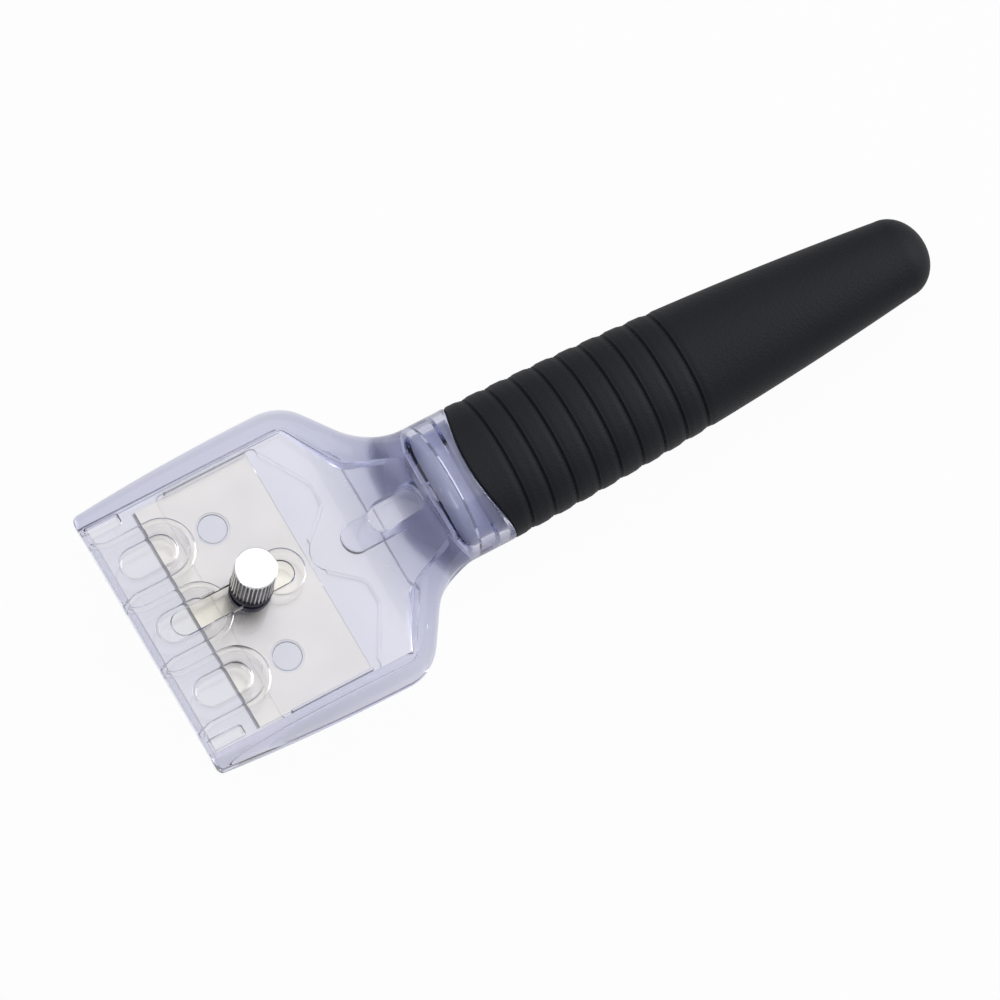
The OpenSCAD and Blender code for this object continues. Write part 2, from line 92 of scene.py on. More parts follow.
def at(s, y, z):
    """A point behind the front edge, beside and above the middle, in the scene's metres."""
    return ((s - TOOL_LENGTH / 2) * MM, y * MM, (z + MIDDLE_HEIGHT) * MM)


print("front edge at", at(0, 0, 0), "tip of the grip at", at(TOOL_LENGTH, 0, 0))

# %% [markdown]
# ## The camera
#
# The photograph looks down on the tool from its blade end, a little from the right, with
# a long lens, so lines that are parallel on the tool stay almost parallel in the picture.
# The direction, the roll and the lens come from where the blade's corners, the screw and
# the end of the grip lie in the frame. The view needs no shift.

# %% Camera
CAMERA_TARGET = Vector((-0.00919, -0.00500, 0.0072))
CAMERA_AZIMUTH, CAMERA_ELEVATION, CAMERA_ROLL = map(math.radians, (222.99, 70.35, 17.9))
CAMERA_DISTANCE = 1.5
CAMERA_LENS, CAMERA_SENSOR = 372.1, 36.0

towards_camera = Vector((
    math.cos(CAMERA_ELEVATION) * math.cos(CAMERA_AZIMUTH),
    math.cos(CAMERA_ELEVATION) * math.sin(CAMERA_AZIMUTH),
    math.sin(CAMERA_ELEVATION),
))
level = (-towards_camera).cross(Vector((0, 0, 1))).normalized()
upright = towards_camera.cross(level)
right = math.cos(CAMERA_ROLL) * level + math.sin(CAMERA_ROLL) * upright
up = towards_camera.cross(right)

camera_data = bpy.data.cameras.new("photo_camera")
camera_data.lens = CAMERA_LENS
camera_data.sensor_width = CAMERA_SENSOR
camera = bpy.data.objects.new("photo_camera", camera_data)
axes = Matrix((right, up, towards_camera)).transposed().to_4x4()
camera.matrix_world = Matrix.Translation(CAMERA_TARGET + CAMERA_DISTANCE * towards_camera) @ axes
bpy.context.scene.collection.objects.link(camera)
bpy.context.scene.camera = camera
print("camera at", [round(v, 3) for v in camera.location])

# %% [markdown]
# ## Helpers for trees of nodes
#
# The world, the materials and the surface effects are all trees of nodes. A few helpers keep
# them short: one makes a node with its values set, one draws links between sockets, and one
# makes a Math node whose inputs are numbers or the outputs of other nodes.


# %% Node helpers
def set_values(node, values):
    """Sets plain values on a node's inputs. An underscore stands for a space."""
    for socket, value in values.items():
        node.inputs[socket.replace("_", " ")].default_value = value


def add_node(tree, kind, **values):
    node = tree.nodes.new(kind)
    set_values(node, values)
    return node


def link(tree, *pairs):
    for source, target in pairs:
        tree.links.new(source, target)


def math_node(tree, operation, *values):
    """The output of a Math node, whose inputs are numbers or other nodes' outputs."""
    node = add_node(tree, "ShaderNodeMath")
    node.operation = operation
    for socket, value in zip(node.inputs, values):
        if isinstance(value, (int, float)):
            socket.default_value = value
        else:
            link(tree, (value, socket))
    return node.outputs[0]


print("node helpers:", [f.__name__ for f in (set_values, add_node, link, math_node)])

# %% [markdown]
# ## Studio light
#
# Clear plastic shows little but its surroundings: its rounded edges look dark where they
# bend the view out to a dim horizon, and its flat faces look bright because they show the
# white table. So the world is a mid grey that only the camera sees as white, and large soft
# lamps above the tool give the highlights.

# %% World
scene = bpy.context.scene
scene.view_settings.view_transform = "Standard"
WORLD_GREY = (0.30, 0.31, 0.35, 1)
WHITE = (1, 1, 1, 1)

world = bpy.data.worlds.new("studio")
world.use_nodes = True
scene.world = world
sky = world.node_tree
sky.nodes.clear()
sky_out = add_node(sky, "ShaderNodeOutputWorld")
sky_grey = add_node(sky, "ShaderNodeBackground", Color=WORLD_GREY)
sky_white = add_node(sky, "ShaderNodeBackground", Color=WHITE)
sky_mix = add_node(sky, "ShaderNodeMixShader")
sky_path = add_node(sky, "ShaderNodeLightPath")
link(
    sky,
    (sky_path.outputs["Is Camera Ray"], sky_mix.inputs["Fac"]),
    (sky_grey.outputs[0], sky_mix.inputs[1]),
    (sky_white.outputs[0], sky_mix.inputs[2]),
    (sky_mix.outputs[0], sky_out.inputs["Surface"]),
)
print("world grey:", WORLD_GREY[:3])

# %% [markdown]
# ### Soft lamps
#
# A product photographer hangs large soft boxes round a small tool. The one overhead fills,
# the key from behind draws the bright lines on the far edges, the strip in front lights the
# screw's flat top, and the strip at the back keeps the head's far side from going dull. They
# are rectangles set by the brightness of their face, so a change of size keeps the look.

# %% Lamps
# name: direction (azimuth, elevation), distance, width, height, radiance, colour
LAMPS = {
    "overhead_softbox": ((38, 66), 1.3, 1.3, 1.3, 0.95, (1.0, 1.0, 1.0)),
    "key_softbox": ((-8, 36), 1.3, 0.6, 0.6, 6.5, (1.0, 1.0, 1.0)),
    "front_strip": ((192, 52), 1.3, 0.5, 0.3, 4.0, (1.0, 1.0, 1.0)),
    "back_strip": ((110, 22), 1.1, 0.3, 0.7, 1.5, (0.95, 0.96, 1.0)),
}


def soft_lamp(name, direction, distance, width, height, radiance, colour):
    """A rectangular lamp that faces the tool, set by the brightness of its face."""
    azimuth, elevation = map(math.radians, direction)
    towards = Vector((
        math.cos(elevation) * math.cos(azimuth),
        math.cos(elevation) * math.sin(azimuth),
        math.sin(elevation),
    ))
    data = bpy.data.lights.new(name, "AREA")
    data.shape = "RECTANGLE"
    data.size, data.size_y = width, height
    data.energy = radiance * math.pi * width * height
    data.color = colour
    lamp = bpy.data.objects.new(name, data)
    lamp.location = towards * distance
    lamp.rotation_euler = towards.to_track_quat("Z", "Y").to_euler()
    scene.collection.objects.link(lamp)
    return lamp


for lamp_name, settings in LAMPS.items():
    soft_lamp(lamp_name, *settings)
print("lamps:", list(LAMPS))

# %% [markdown]
# ### The white table
#
# The background is plain white, yet the clear head stands out from it as a soft grey. So
# the table is an ordinary pale surface, which catches the tool's shadow, mixed with plain
# white by the kind of ray that looks at it: nearly all white for the camera and for
# reflections in metal, and less for rays that come through the plastic. A ray that bends
# through a surface counts as glossy too, so the share for reflections leaves it out.

# %% Table
TABLE_SIZE = 3.0
TABLE_DROP = 0.0002
TABLE_PAINT = (0.66, 0.66, 0.67, 1)

table_mesh = bpy.data.meshes.new("table")
half = TABLE_SIZE / 2
table_mesh.from_pydata(
    [(x, y, -TABLE_DROP) for x, y in ((-half, -half), (half, -half), (half, half), (-half, half))],
    [],
    [(0, 1, 2, 3)],
)
table = bpy.data.objects.new("table", table_mesh)
scene.collection.objects.link(table)
print("table side:", TABLE_SIZE, "m")

# %% The table's white shares
WHITE_TO_CAMERA, WHITE_THROUGH_PLASTIC = 0.96, 0.64

table_paint = bpy.data.materials.new("white_table")
table_paint.use_nodes = True
paint = table_paint.node_tree
paint.nodes.clear()
paint_out = add_node(paint, "ShaderNodeOutputMaterial")
paint_matt = add_node(paint, "ShaderNodeBsdfDiffuse", Color=TABLE_PAINT)
paint_white = add_node(paint, "ShaderNodeEmission")
paint_mix = add_node(paint, "ShaderNodeMixShader")
paint_path = add_node(paint, "ShaderNodeLightPath")
through = paint_path.outputs["Is Transmission Ray"]
not_through = math_node(paint, "SUBTRACT", 1.0, through)
mirrored_ray = math_node(paint, "MULTIPLY", paint_path.outputs["Is Glossy Ray"], not_through)
in_air = math_node(paint, "MAXIMUM", paint_path.outputs["Is Camera Ray"], mirrored_ray)
white_in_air = math_node(paint, "MULTIPLY", in_air, WHITE_TO_CAMERA)
white_share = math_node(paint, "MULTIPLY_ADD", through, WHITE_THROUGH_PLASTIC, white_in_air)
link(
    paint,
    (white_share, paint_mix.inputs["Fac"]),
    (paint_matt.outputs[0], paint_mix.inputs[1]),
    (paint_white.outputs[0], paint_mix.inputs[2]),
    (paint_mix.outputs[0], paint_out.inputs["Surface"]),
)
table_mesh.materials.append(table_paint)
print("white shares:", WHITE_TO_CAMERA, "in air and", WHITE_THROUGH_PLASTIC, "through plastic")

# %% [markdown]
# ### How often light may bounce
#
# A ray that looks through the head crosses its top, the carrier and the base plate, with air
# between them, and many rays are thrown about inside the neck before they get out. With too
# few bounces such a ray would end black.

# %% Bounces
BOUNCES = 24
cycles = scene.cycles
cycles.max_bounces = BOUNCES
cycles.transmission_bounces = BOUNCES
cycles.transparent_max_bounces = BOUNCES
print("bounces:", BOUNCES)

# %% [markdown]
# ## Shared surface effects
#
# Moulded plastic is never optically flat: its faces carry long shallow ripples from the
# mould and a few fine scuffs from use. Rubber has a fine grain. Each of these is a small
# group of nodes that puts out a height and a mask, built once, and used by more than one
# material with its own values.


# %% Group helpers
def new_group(name, inputs, outputs):
    """A shader group with named sockets: inputs are (name, kind, value)."""
    group = bpy.data.node_groups.new(name, "ShaderNodeTree")
    for socket, kind, value in inputs:
        made = group.interface.new_socket(name=socket, in_out="INPUT", socket_type=kind)
        made.default_value = value
    for socket, kind in outputs:
        group.interface.new_socket(name=socket, in_out="OUTPUT", socket_type=kind)
    return group, group.nodes.new("NodeGroupInput"), group.nodes.new("NodeGroupOutput")


def place_coordinates(tree, scale=(1, 1, 1)):
    """Object coordinates, stretched by a scale along each axis."""
    source = add_node(tree, "ShaderNodeTexCoord")
    mapping = add_node(tree, "ShaderNodeMapping", Scale=scale)
    link(tree, (source.outputs["Object"], mapping.inputs["Vector"]))
    return mapping.outputs["Vector"]


print("group helpers:", new_group.__name__, place_coordinates.__name__)

# %% [markdown]
# ### Fine grain
#
# Rubber and dull plastic come out of an etched mould with a fine pebbled skin. Round cells
# give the pebbles, and noise mixed into them keeps them from looking counted out. A second,
# broad noise is kept for slow changes of colour.


# %% Grain group
def make_grain_group():
    """Fine grain: a cellular height, broken up by noise so that it doesn't repeat."""
    group, group_in, group_out = new_group(
        "fine_grain",
        [("Scale", "NodeSocketFloat", 3000.0), ("Roughen", "NodeSocketFloat", 0.5)],
        [("Height", "NodeSocketFloat"), ("Mottle", "NodeSocketFloat")],
    )
    where = place_coordinates(group)
    cells = add_node(group, "ShaderNodeTexVoronoi")
    noise = add_node(group, "ShaderNodeTexNoise", Detail=3)
    broad = add_node(group, "ShaderNodeTexNoise", Scale=120, Detail=4)
    mix = add_node(group, "ShaderNodeMix")
    link(
        group,
        (where, cells.inputs["Vector"]),
        (where, noise.inputs["Vector"]),
        (where, broad.inputs["Vector"]),
        (group_in.outputs["Scale"], cells.inputs["Scale"]),
        (group_in.outputs["Scale"], noise.inputs["Scale"]),
        (group_in.outputs["Roughen"], mix.inputs[0]),
        (cells.outputs["Distance"], mix.inputs[2]),
        (noise.outputs["Fac"], mix.inputs[3]),
        (mix.outputs[0], group_out.inputs["Height"]),
        (broad.outputs["Fac"], group_out.inputs["Mottle"]),
    )
    return group


GRAIN = make_grain_group()
print("made", GRAIN.name)

# %% [markdown]
# ### Moulded faces
#
# A face of moulded plastic looks flat until a straight line is seen through it. One slow
# noise gives its ripples. Its scuffs run along the tool, because it is wiped and pushed that
# way, so their noise is stretched along X and sharpened until only a few streaks are left.


# %% Moulded group
def make_moulded_group():
    """Long shallow ripples of a moulding, and sparse hairline scuffs on its faces."""
    group, group_in, group_out = new_group(
        "moulded_surface",
        [("Ripple Scale", "NodeSocketFloat", 60.0), ("Scuff Scale", "NodeSocketFloat", 900.0)],
        [("Ripple", "NodeSocketFloat"), ("Scuff", "NodeSocketFloat")],
    )
    where = place_coordinates(group)
    ripple = add_node(group, "ShaderNodeTexNoise", Detail=1)
    stretched = place_coordinates(group, (0.12, 1, 1))
    scuff = add_node(group, "ShaderNodeTexNoise", Detail=2)
    sharpen = add_node(group, "ShaderNodeMapRange", From_Min=0.62, From_Max=0.74)
    link(
        group,
        (where, ripple.inputs["Vector"]),
        (stretched, scuff.inputs["Vector"]),
        (group_in.outputs["Ripple Scale"], ripple.inputs["Scale"]),
        (group_in.outputs["Scuff Scale"], scuff.inputs["Scale"]),
        (ripple.outputs["Fac"], group_out.inputs["Ripple"]),
        (scuff.outputs["Fac"], sharpen.inputs["Value"]),
        (sharpen.outputs["Result"], group_out.inputs["Scuff"]),
    )
    return group


MOULDED = make_moulded_group()
print("made", MOULDED.name)

# %% [markdown]
# ### Ground and turned metal
#
# Grinding leaves fine parallel lines, and handling leaves faint stains. A noise stretched
# fifty times across the lines makes the first, and a plain one makes the second.


# %% Brushed group
def make_brushed_group():
    """Fine grinding lines along one axis of the piece."""
    group, group_in, group_out = new_group(
        "brushed_lines",
        [("Scale", "NodeSocketFloat", 1800.0)],
        [("Lines", "NodeSocketFloat"), ("Stain", "NodeSocketFloat")],
    )
    where = place_coordinates(group, (1, 0.02, 0.02))
    lines = add_node(group, "ShaderNodeTexNoise", Detail=3)
    plain = place_coordinates(group)
    stain = add_node(group, "ShaderNodeTexNoise", Scale=140, Detail=3)
    link(
        group,
        (where, lines.inputs["Vector"]),
        (plain, stain.inputs["Vector"]),
        (group_in.outputs["Scale"], lines.inputs["Scale"]),
        (lines.outputs["Fac"], group_out.inputs["Lines"]),
        (stain.outputs["Fac"], group_out.inputs["Stain"]),
    )
    return group


BRUSHED = make_brushed_group()
print("made", BRUSHED.name)

# %% [markdown]
# ### The frosted neck
#
# In the photograph the neck is smoky where its underside sweeps down to the collar, and
# nothing behind it is seen sharply. A polished neck would mirror its surroundings in hard
# dark blotches instead. Rough faces blur them, so a mask says where the plastic is rough. It
# is a product of two ramps, along the tool and downwards, for the underside, and an
# ellipsoid for the end of the hollow inside.


# %% Frosted neck group
def make_frost_group():
    """A mask that is 1 on the underside of the neck and round the end of the hollow."""
    group, group_in, group_out = new_group(
        "neck_underside",
        [("Front", "NodeSocketFloat", -0.030), ("Rear", "NodeSocketFloat", -0.022),
         ("Top", "NodeSocketFloat", 0.0082), ("Bottom", "NodeSocketFloat", 0.0060),
         ("Pocket Middle", "NodeSocketVector", (-0.0200, 0.0, 0.0067)),
         ("Pocket Reach", "NodeSocketVector", (0.0045, 0.0100, 0.0022))],
        [("Mask", "NodeSocketFloat")],
    )
    where = place_coordinates(group)
    split = add_node(group, "ShaderNodeSeparateXYZ")
    along = add_node(group, "ShaderNodeMapRange")
    below = add_node(group, "ShaderNodeMapRange")
    offset, scaled, reach = [add_node(group, "ShaderNodeVectorMath") for _ in range(3)]
    offset.operation, scaled.operation, reach.operation = "SUBTRACT", "DIVIDE", "LENGTH"
    inside = add_node(group, "ShaderNodeMapRange", From_Min=1.1, From_Max=0.95)
    underside = math_node(group, "MULTIPLY", along.outputs["Result"], below.outputs["Result"])
    either = math_node(group, "MAXIMUM", underside, inside.outputs["Result"])
    link(
        group,
        (where, split.inputs["Vector"]),
        (split.outputs["X"], along.inputs["Value"]),
        (group_in.outputs["Front"], along.inputs["From Min"]),
        (group_in.outputs["Rear"], along.inputs["From Max"]),
        (split.outputs["Z"], below.inputs["Value"]),
        (group_in.outputs["Top"], below.inputs["From Min"]),
        (group_in.outputs["Bottom"], below.inputs["From Max"]),
        (where, offset.inputs[0]),
        (group_in.outputs["Pocket Middle"], offset.inputs[1]),
        (offset.outputs["Vector"], scaled.inputs[0]),
        (group_in.outputs["Pocket Reach"], scaled.inputs[1]),
        (scaled.outputs["Vector"], reach.inputs[0]),
        (reach.outputs["Value"], inside.inputs["Value"]),
        (either, group_out.inputs["Mask"]),
    )
    return group


FROST = make_frost_group()
print("made", FROST.name)

# %% [markdown]
# ### Bright crests and dark grooves
#
# The sides of the knurled screw are painted with shade: dark between the ridges, and the plating's colour
# on them.
# All ridges stand round one upright axis, so the distance from that axis tells crest from
# groove, and no texture is needed.


# %% Crest group
def make_crest_group():
    """A mask by the distance from an upright axis: 0 in the grooves, 1 on the crests."""
    group, group_in, group_out = new_group(
        "crests_round_axis",
        [("Axis X", "NodeSocketFloat", -0.0482),
         ("Groove", "NodeSocketFloat", 0.00296), ("Crest", "NodeSocketFloat", 0.00313)],
        [("Mask", "NodeSocketFloat")],
    )
    split = add_node(group, "ShaderNodeSeparateXYZ")
    link(group, (place_coordinates(group), split.inputs["Vector"]))
    across = math_node(group, "SUBTRACT", split.outputs["X"], group_in.outputs["Axis X"])
    side_square = math_node(group, "MULTIPLY", split.outputs["Y"], split.outputs["Y"])
    square = math_node(group, "MULTIPLY_ADD", across, across, side_square)
    height = add_node(group, "ShaderNodeMapRange")
    link(
        group,
        (math_node(group, "SQRT", square), height.inputs["Value"]),
        (group_in.outputs["Groove"], height.inputs["From Min"]),
        (group_in.outputs["Crest"], height.inputs["From Max"]),
        (height.outputs["Result"], group_out.inputs["Mask"]),
    )
    return group


CRESTS = make_crest_group()
print("made", CRESTS.name)

# %% [markdown]
# ## Materials
#
# Every finish is a Principled shader with the real finish's own numbers. The constants are
# set on the shader's sockets, and the surface effects above give colour, roughness and
# relief their small changes from place to place. A few helpers do the wiring.


# %% Material helpers
def new_material(name, **values):
    """A material with one Principled shader, whose plain values are set on its sockets."""
    material = bpy.data.materials.new(name)
    material.use_nodes = True
    tree = material.node_tree
    shader = tree.nodes["Principled BSDF"]
    set_values(shader, values)
    return material, tree, shader


def use_group(tree, group, **values):
    node = add_node(tree, "ShaderNodeGroup")
    node.node_tree = group
    set_values(node, values)
    return node


print("materials start from", new_material.__name__, "and", use_group.__name__)


# %% Wiring helpers
def spread(tree, source, low, high, target):
    """Carries a 0 to 1 mask into a range of values."""
    node = add_node(tree, "ShaderNodeMapRange", To_Min=low, To_Max=high)
    link(tree, (source, node.inputs["Value"]), (node.outputs["Result"], target))


def tint(tree, source, dark, light, target):
    """Carries a 0 to 1 mask into a range of colours."""
    ramp = add_node(tree, "ShaderNodeValToRGB")
    for stop, place, colour in zip(ramp.color_ramp.elements, (0.3, 0.7), (dark, light)):
        stop.position, stop.color = place, colour
    link(tree, (source, ramp.inputs["Fac"]), (ramp.outputs["Color"], target))


def emboss(tree, shader, height, strength, distance):
    bump = add_node(tree, "ShaderNodeBump", Strength=strength, Distance=distance)
    link(tree, (height, bump.inputs["Height"]), (bump.outputs["Normal"], shader.inputs["Normal"]))


print("wiring helpers:", [f.__name__ for f in (spread, tint, emboss)])

# %% [markdown]
# ### Clear plastic
#
# The head, the base plate and the carrier are clear plastic with a faint violet tint that
# deepens with thickness, so the tint is an absorbing volume and not a surface colour. Real
# light would reach the blade through the head, but a path tracer finds such light slowly.
# So to shadow rays alone the plastic is plainly see-through. The frost mask adds roughness
# at the neck.


# %% Clear plastic shader
VIOLET_TINT = (0.43, 0.45, 0.70, 1)
FROST_ROUGHNESS, SCUFF_ROUGHNESS = 0.55, 0.10
RIPPLE_HEIGHT = 0.0004


def clear_plastic(name, light, dark, roughness, ripple, density):
    """Clear moulding that lets lamps through, so that what it holds is lit."""
    material, tree, shader = new_material(
        name, IOR=1.5, Transmission_Weight=1.0, Roughness=roughness, Metallic=0.0
    )
    surface = use_group(tree, MOULDED, Ripple_Scale=70.0, Scuff_Scale=1100.0)
    tint(tree, surface.outputs["Ripple"], dark, light, shader.inputs["Base Color"])
    frost = use_group(tree, FROST)
    frosted = add_node(tree, "ShaderNodeMath")
    frosted.operation = "MULTIPLY_ADD"
    frosted.inputs[1].default_value = FROST_ROUGHNESS
    spread(tree, surface.outputs["Scuff"], roughness, roughness + SCUFF_ROUGHNESS, frosted.inputs[2])
    emboss(tree, shader, surface.outputs["Ripple"], ripple, RIPPLE_HEIGHT)
    see_through = add_node(tree, "ShaderNodeBsdfTransparent", Color=light)
    mix = add_node(tree, "ShaderNodeMixShader")
    path = add_node(tree, "ShaderNodeLightPath")
    absorb = add_node(tree, "ShaderNodeVolumeAbsorption", Color=VIOLET_TINT, Density=density)
    output = tree.nodes["Material Output"]
    link(
        tree,
        (frost.outputs["Mask"], frosted.inputs[0]),
        (frosted.outputs[0], shader.inputs["Roughness"]),
        (path.outputs["Is Shadow Ray"], mix.inputs["Fac"]),
        (shader.outputs[0], mix.inputs[1]),
        (see_through.outputs[0], mix.inputs[2]),
        (mix.outputs[0], output.inputs["Surface"]),
        (absorb.outputs[0], output.inputs["Volume"]),
    )
    return material


print("clear plastics are made by", clear_plastic.__name__)

# %% Three clear plastics
HEAD_PLASTIC = clear_plastic(
    "clear_head_plastic", (0.985, 0.985, 0.99, 1), (0.97, 0.97, 0.985, 1), 0.01, 0.10, 140.0
)
BASE_PLASTIC = clear_plastic(
    "clear_base_plastic", (0.985, 0.985, 0.99, 1), (0.97, 0.97, 0.985, 1), 0.015, 0.12, 60.0
)
CARRIER_PLASTIC = clear_plastic(
    "clear_carrier_plastic", (0.99, 0.99, 0.99, 1), (0.98, 0.98, 0.985, 1), 0.03, 0.12, 40.0
)
print("clear plastics:", [m.name for m in (HEAD_PLASTIC, BASE_PLASTIC, CARRIER_PLASTIC)])

# %% [markdown]
# ### Steel and plating
#
# The blade is satin steel with a finely ground bevel, the screw is plated, and the insert is
# dark turned steel. All are bare metal with fine lines, so one function makes them. Colour
# follows faint stains, or a mask of painted shade, as in the grooves of the knurls.


# %% Metals
LINE_DEPTH = 0.00005


def metal(name, light, dark, roughness, spread_width, scale, bump, painted_shade=None):
    """Bare metal with fine lines, tinted by its stains or by a mask of painted shade."""
    material, tree, shader = new_material(name, Metallic=1.0, Roughness=roughness)
    lines = use_group(tree, BRUSHED, Scale=scale)
    mask = painted_shade(tree) if painted_shade else lines.outputs["Stain"]
    tint(tree, mask, dark, light, shader.inputs["Base Color"])
    spread(tree, lines.outputs["Lines"], roughness, roughness + spread_width, shader.inputs["Roughness"])
    emboss(tree, shader, lines.outputs["Lines"], bump, LINE_DEPTH)
    return material


# Painted shade: a mask that paints the knurls' grooves dark and leaves the crests bright.
def knurl_painted_shade(tree):
    return use_group(tree, CRESTS, Axis_X=at(KNOB_AXIS, 0, 0)[0]).outputs["Mask"]


print("metals are made by", metal.__name__)

# %% Five metals
BLADE_STEEL = metal(
    "satin_blade_steel", (0.87, 0.835, 0.73, 1), (0.82, 0.79, 0.685, 1), 0.32, 0.12, 1800, 0.15
)
# Painted reflection: the ground bevel is painted much darker than the blade, for the dark reflection that
# its slope shows.
EDGE_STEEL_PAINTED_DARK = metal(
    "ground_bevel_painted_dark", (0.55, 0.535, 0.54, 1), (0.45, 0.435, 0.44, 1), 0.30, 0.1, 3200, 0.3
)
PLATING = metal(
    "bright_plating", (0.95, 0.945, 0.94, 1), (0.90, 0.89, 0.88, 1), 0.10, 0.08, 2400, 0.05
)
# The screw's sideways faces: plating with painted shade, near black in the grooves and a little darker
# than the top on the crests.
KNURLED_SIDE = metal(
    "plating_painted_shade_in_knurls",
    (0.86, 0.85, 0.87, 1), (0.05, 0.045, 0.06, 1), 0.14, 0.08, 2400, 0.05, knurl_painted_shade
)
DARK_STEEL = metal(
    "dark_turned_steel", (0.055, 0.050, 0.080, 1), (0.030, 0.028, 0.045, 1), 0.30, 0.12, 2600, 0.2
)
print("metals:", [m.name for m in (BLADE_STEEL, EDGE_STEEL_PAINTED_DARK, PLATING, KNURLED_SIDE, DARK_STEEL)])

# %% [markdown]
# ### Rubber, core and washer
#
# The grip is matte black rubber, a little blue, with a fine skin. The core's plug is a
# smooth smoky plastic, and its snap groove is painted paler, as a painted highlight where
# light comes round it. The washer is dark and smooth. All are dull or half-dull surfaces
# with grain, and again one function makes them.


# %% Dull finishes
GRAIN_DEPTH = 0.00012


def matte(name, light, dark, roughness, scale, bump, specular=0.5):
    material, tree, shader = new_material(
        name, Roughness=roughness, Specular_IOR_Level=specular
    )
    grain = use_group(tree, GRAIN, Scale=scale, Roughen=0.5)
    tint(tree, grain.outputs["Mottle"], dark, light, shader.inputs["Base Color"])
    spread(tree, grain.outputs["Mottle"], roughness - 0.05, roughness + 0.07, shader.inputs["Roughness"])
    emboss(tree, shader, grain.outputs["Height"], bump, GRAIN_DEPTH)
    return material


RUBBER = matte(
    "black_grained_rubber",
    (0.0088, 0.0094, 0.0124, 1), (0.0066, 0.0071, 0.0095, 1), 0.62, 2300, 0.5, 0.28
)
CORE_PLASTIC = matte(
    "smoky_core_plastic", (0.45, 0.47, 0.58, 1), (0.36, 0.375, 0.47, 1), 0.35, 3500, 0.05
)
# Painted highlight: a paler copy of the core's plastic for the snap groove, where light comes round the
# plug.
SNAP_PAINTED_HIGHLIGHT = matte(
    "snap_groove_painted_highlight", (0.52, 0.53, 0.68, 1), (0.44, 0.45, 0.58, 1), 0.30, 3500, 0.05
)
WASHER_BLACK = matte(
    "black_oxide", (0.075, 0.070, 0.088, 1), (0.055, 0.051, 0.066, 1), 0.28, 4200, 0.05
)
print("dull finishes:", [m.name for m in (RUBBER, CORE_PLASTIC, SNAP_PAINTED_HIGHLIGHT, WASHER_BLACK)])

# %% [markdown]
# ## Making closed meshes
#
# Two ways of building cover almost every piece. A row of closed rings, joined one to the
# next, makes anything that changes along its length, as the head and the grip do. An
# outline that grows and shrinks as it rises makes plates, pads and the cutters for
# pockets, with real rounded edges, which are what catch the light on clear plastic.
#
# Both end in one function that joins rings with quads and caps the two ends. A cap is one
# face where the ring is flat, and a ladder of quads where it is bent, as at the rim.


# %% Pieces from rings
def new_piece(name, points, faces):
    """A closed piece from points in millimetres, with its faces turned outwards."""
    mesh = bpy.data.meshes.new(name)
    mesh.from_pydata([at(*p) for p in points], [], faces)
    shape = bmesh.new()
    shape.from_mesh(mesh)
    bmesh.ops.recalc_face_normals(shape, faces=shape.faces)
    shape.to_mesh(mesh)
    shape.free()
    piece = bpy.data.objects.new(name, mesh)
    scene.collection.objects.link(piece)
    return piece


def join_rings(name, rings, flat_caps=False):
    """Quads between rings of equal length, and a cap on the first and the last."""
    size = len(rings[0])
    points = [p for ring in rings for p in ring]
    faces = [
        (r * size + i, (r + 1) * size + i, (r + 1) * size + (i + 1) % size, r * size + (i + 1) % size)
        for r in range(len(rings) - 1)
        for i in range(size)
    ]
    for first in (0, (len(rings) - 1) * size):
        if flat_caps:
            faces.append(tuple(first + i for i in range(size)))
        else:
            faces += [
                (first + i, first + i + 1, first + size - 2 - i, first + size - 1 - i)
                for i in range(size // 2 - 1)
            ]
    return new_piece(name, points, faces)


print("piece makers:", new_piece.__name__, join_rings.__name__)

# %% [markdown]
# ### Upright rings
#
# Every section across the head, the plug and the grip has four corners, each a quarter of
# an ellipse. Wide corners make an oval and small ones a flat bar, so one kind of ring can
# carry the head from a plate to a neck. A ring may also dip forward at its middle, which
# makes the collar's scalloped rim.

# %% Rings
RING_STEPS = 20
OVAL_SHARE = 0.985


def quarter(middle_y, middle_z, round_y, round_z, first):
    angles = np.radians(first + 90 * np.arange(RING_STEPS + 1) / RING_STEPS)
    return [(middle_y + round_y * math.cos(a), middle_z + round_z * math.sin(a)) for a in angles]


def ring(s, half, top, bottom, top_round, bottom_round, dip=0.0):
    """An upright closed ring whose four corners are quarter ellipses."""
    upper_y, upper_z = half - top_round[0], top - top_round[1]
    lower_y, lower_z = half - bottom_round[0], bottom + bottom_round[1]
    outline = (
        quarter(upper_y, upper_z, *top_round, 0)
        + quarter(-upper_y, upper_z, *top_round, 90)
        + quarter(-lower_y, lower_z, *bottom_round, 180)
        + quarter(lower_y, lower_z, *bottom_round, 270)
    )
    return [(s - dip * (1 - (y / COLLAR_HALF) ** 2), y, z) for y, z in outline]


def oval(s, half, rise, dip=0.0):
    corner = (OVAL_SHARE * half, OVAL_SHARE * rise)
    return ring(s, half, rise, -rise, corner, corner, dip)


print("points in a ring:", len(oval(0, 2, 1)))

# %% [markdown]
# ### Outlines that grow as they rise
#
# A pad, a pocket or a plate has one outline, seen from above, that is moved outwards or
# inwards at each height. A pair of growth and height is a level. Levels on an arc give a
# rounded edge. A pocket's levels give a floor with a wide hollow edge, a steep wall and a
# rounded rim: a sharp inner corner would show through clear plastic as a hard black line.


# %% Growing outlines
def grown(outline, distance):
    """The outline with every point moved outwards, square to its neighbours."""
    points = np.array(outline)
    along = np.roll(points, -1, axis=0) - points
    along /= np.linalg.norm(along, axis=1)[:, None]
    normal = np.stack([along[:, 1], -along[:, 0]], axis=1)
    before = np.roll(normal, 1, axis=0)
    bisector = normal + before
    scale = distance * 2 / np.sum(bisector * bisector, axis=1)
    x, y = points.T
    area = np.sum(x * np.roll(y, -1) - y * np.roll(x, -1))
    return points + math.copysign(1, area) * bisector * scale[:, None]


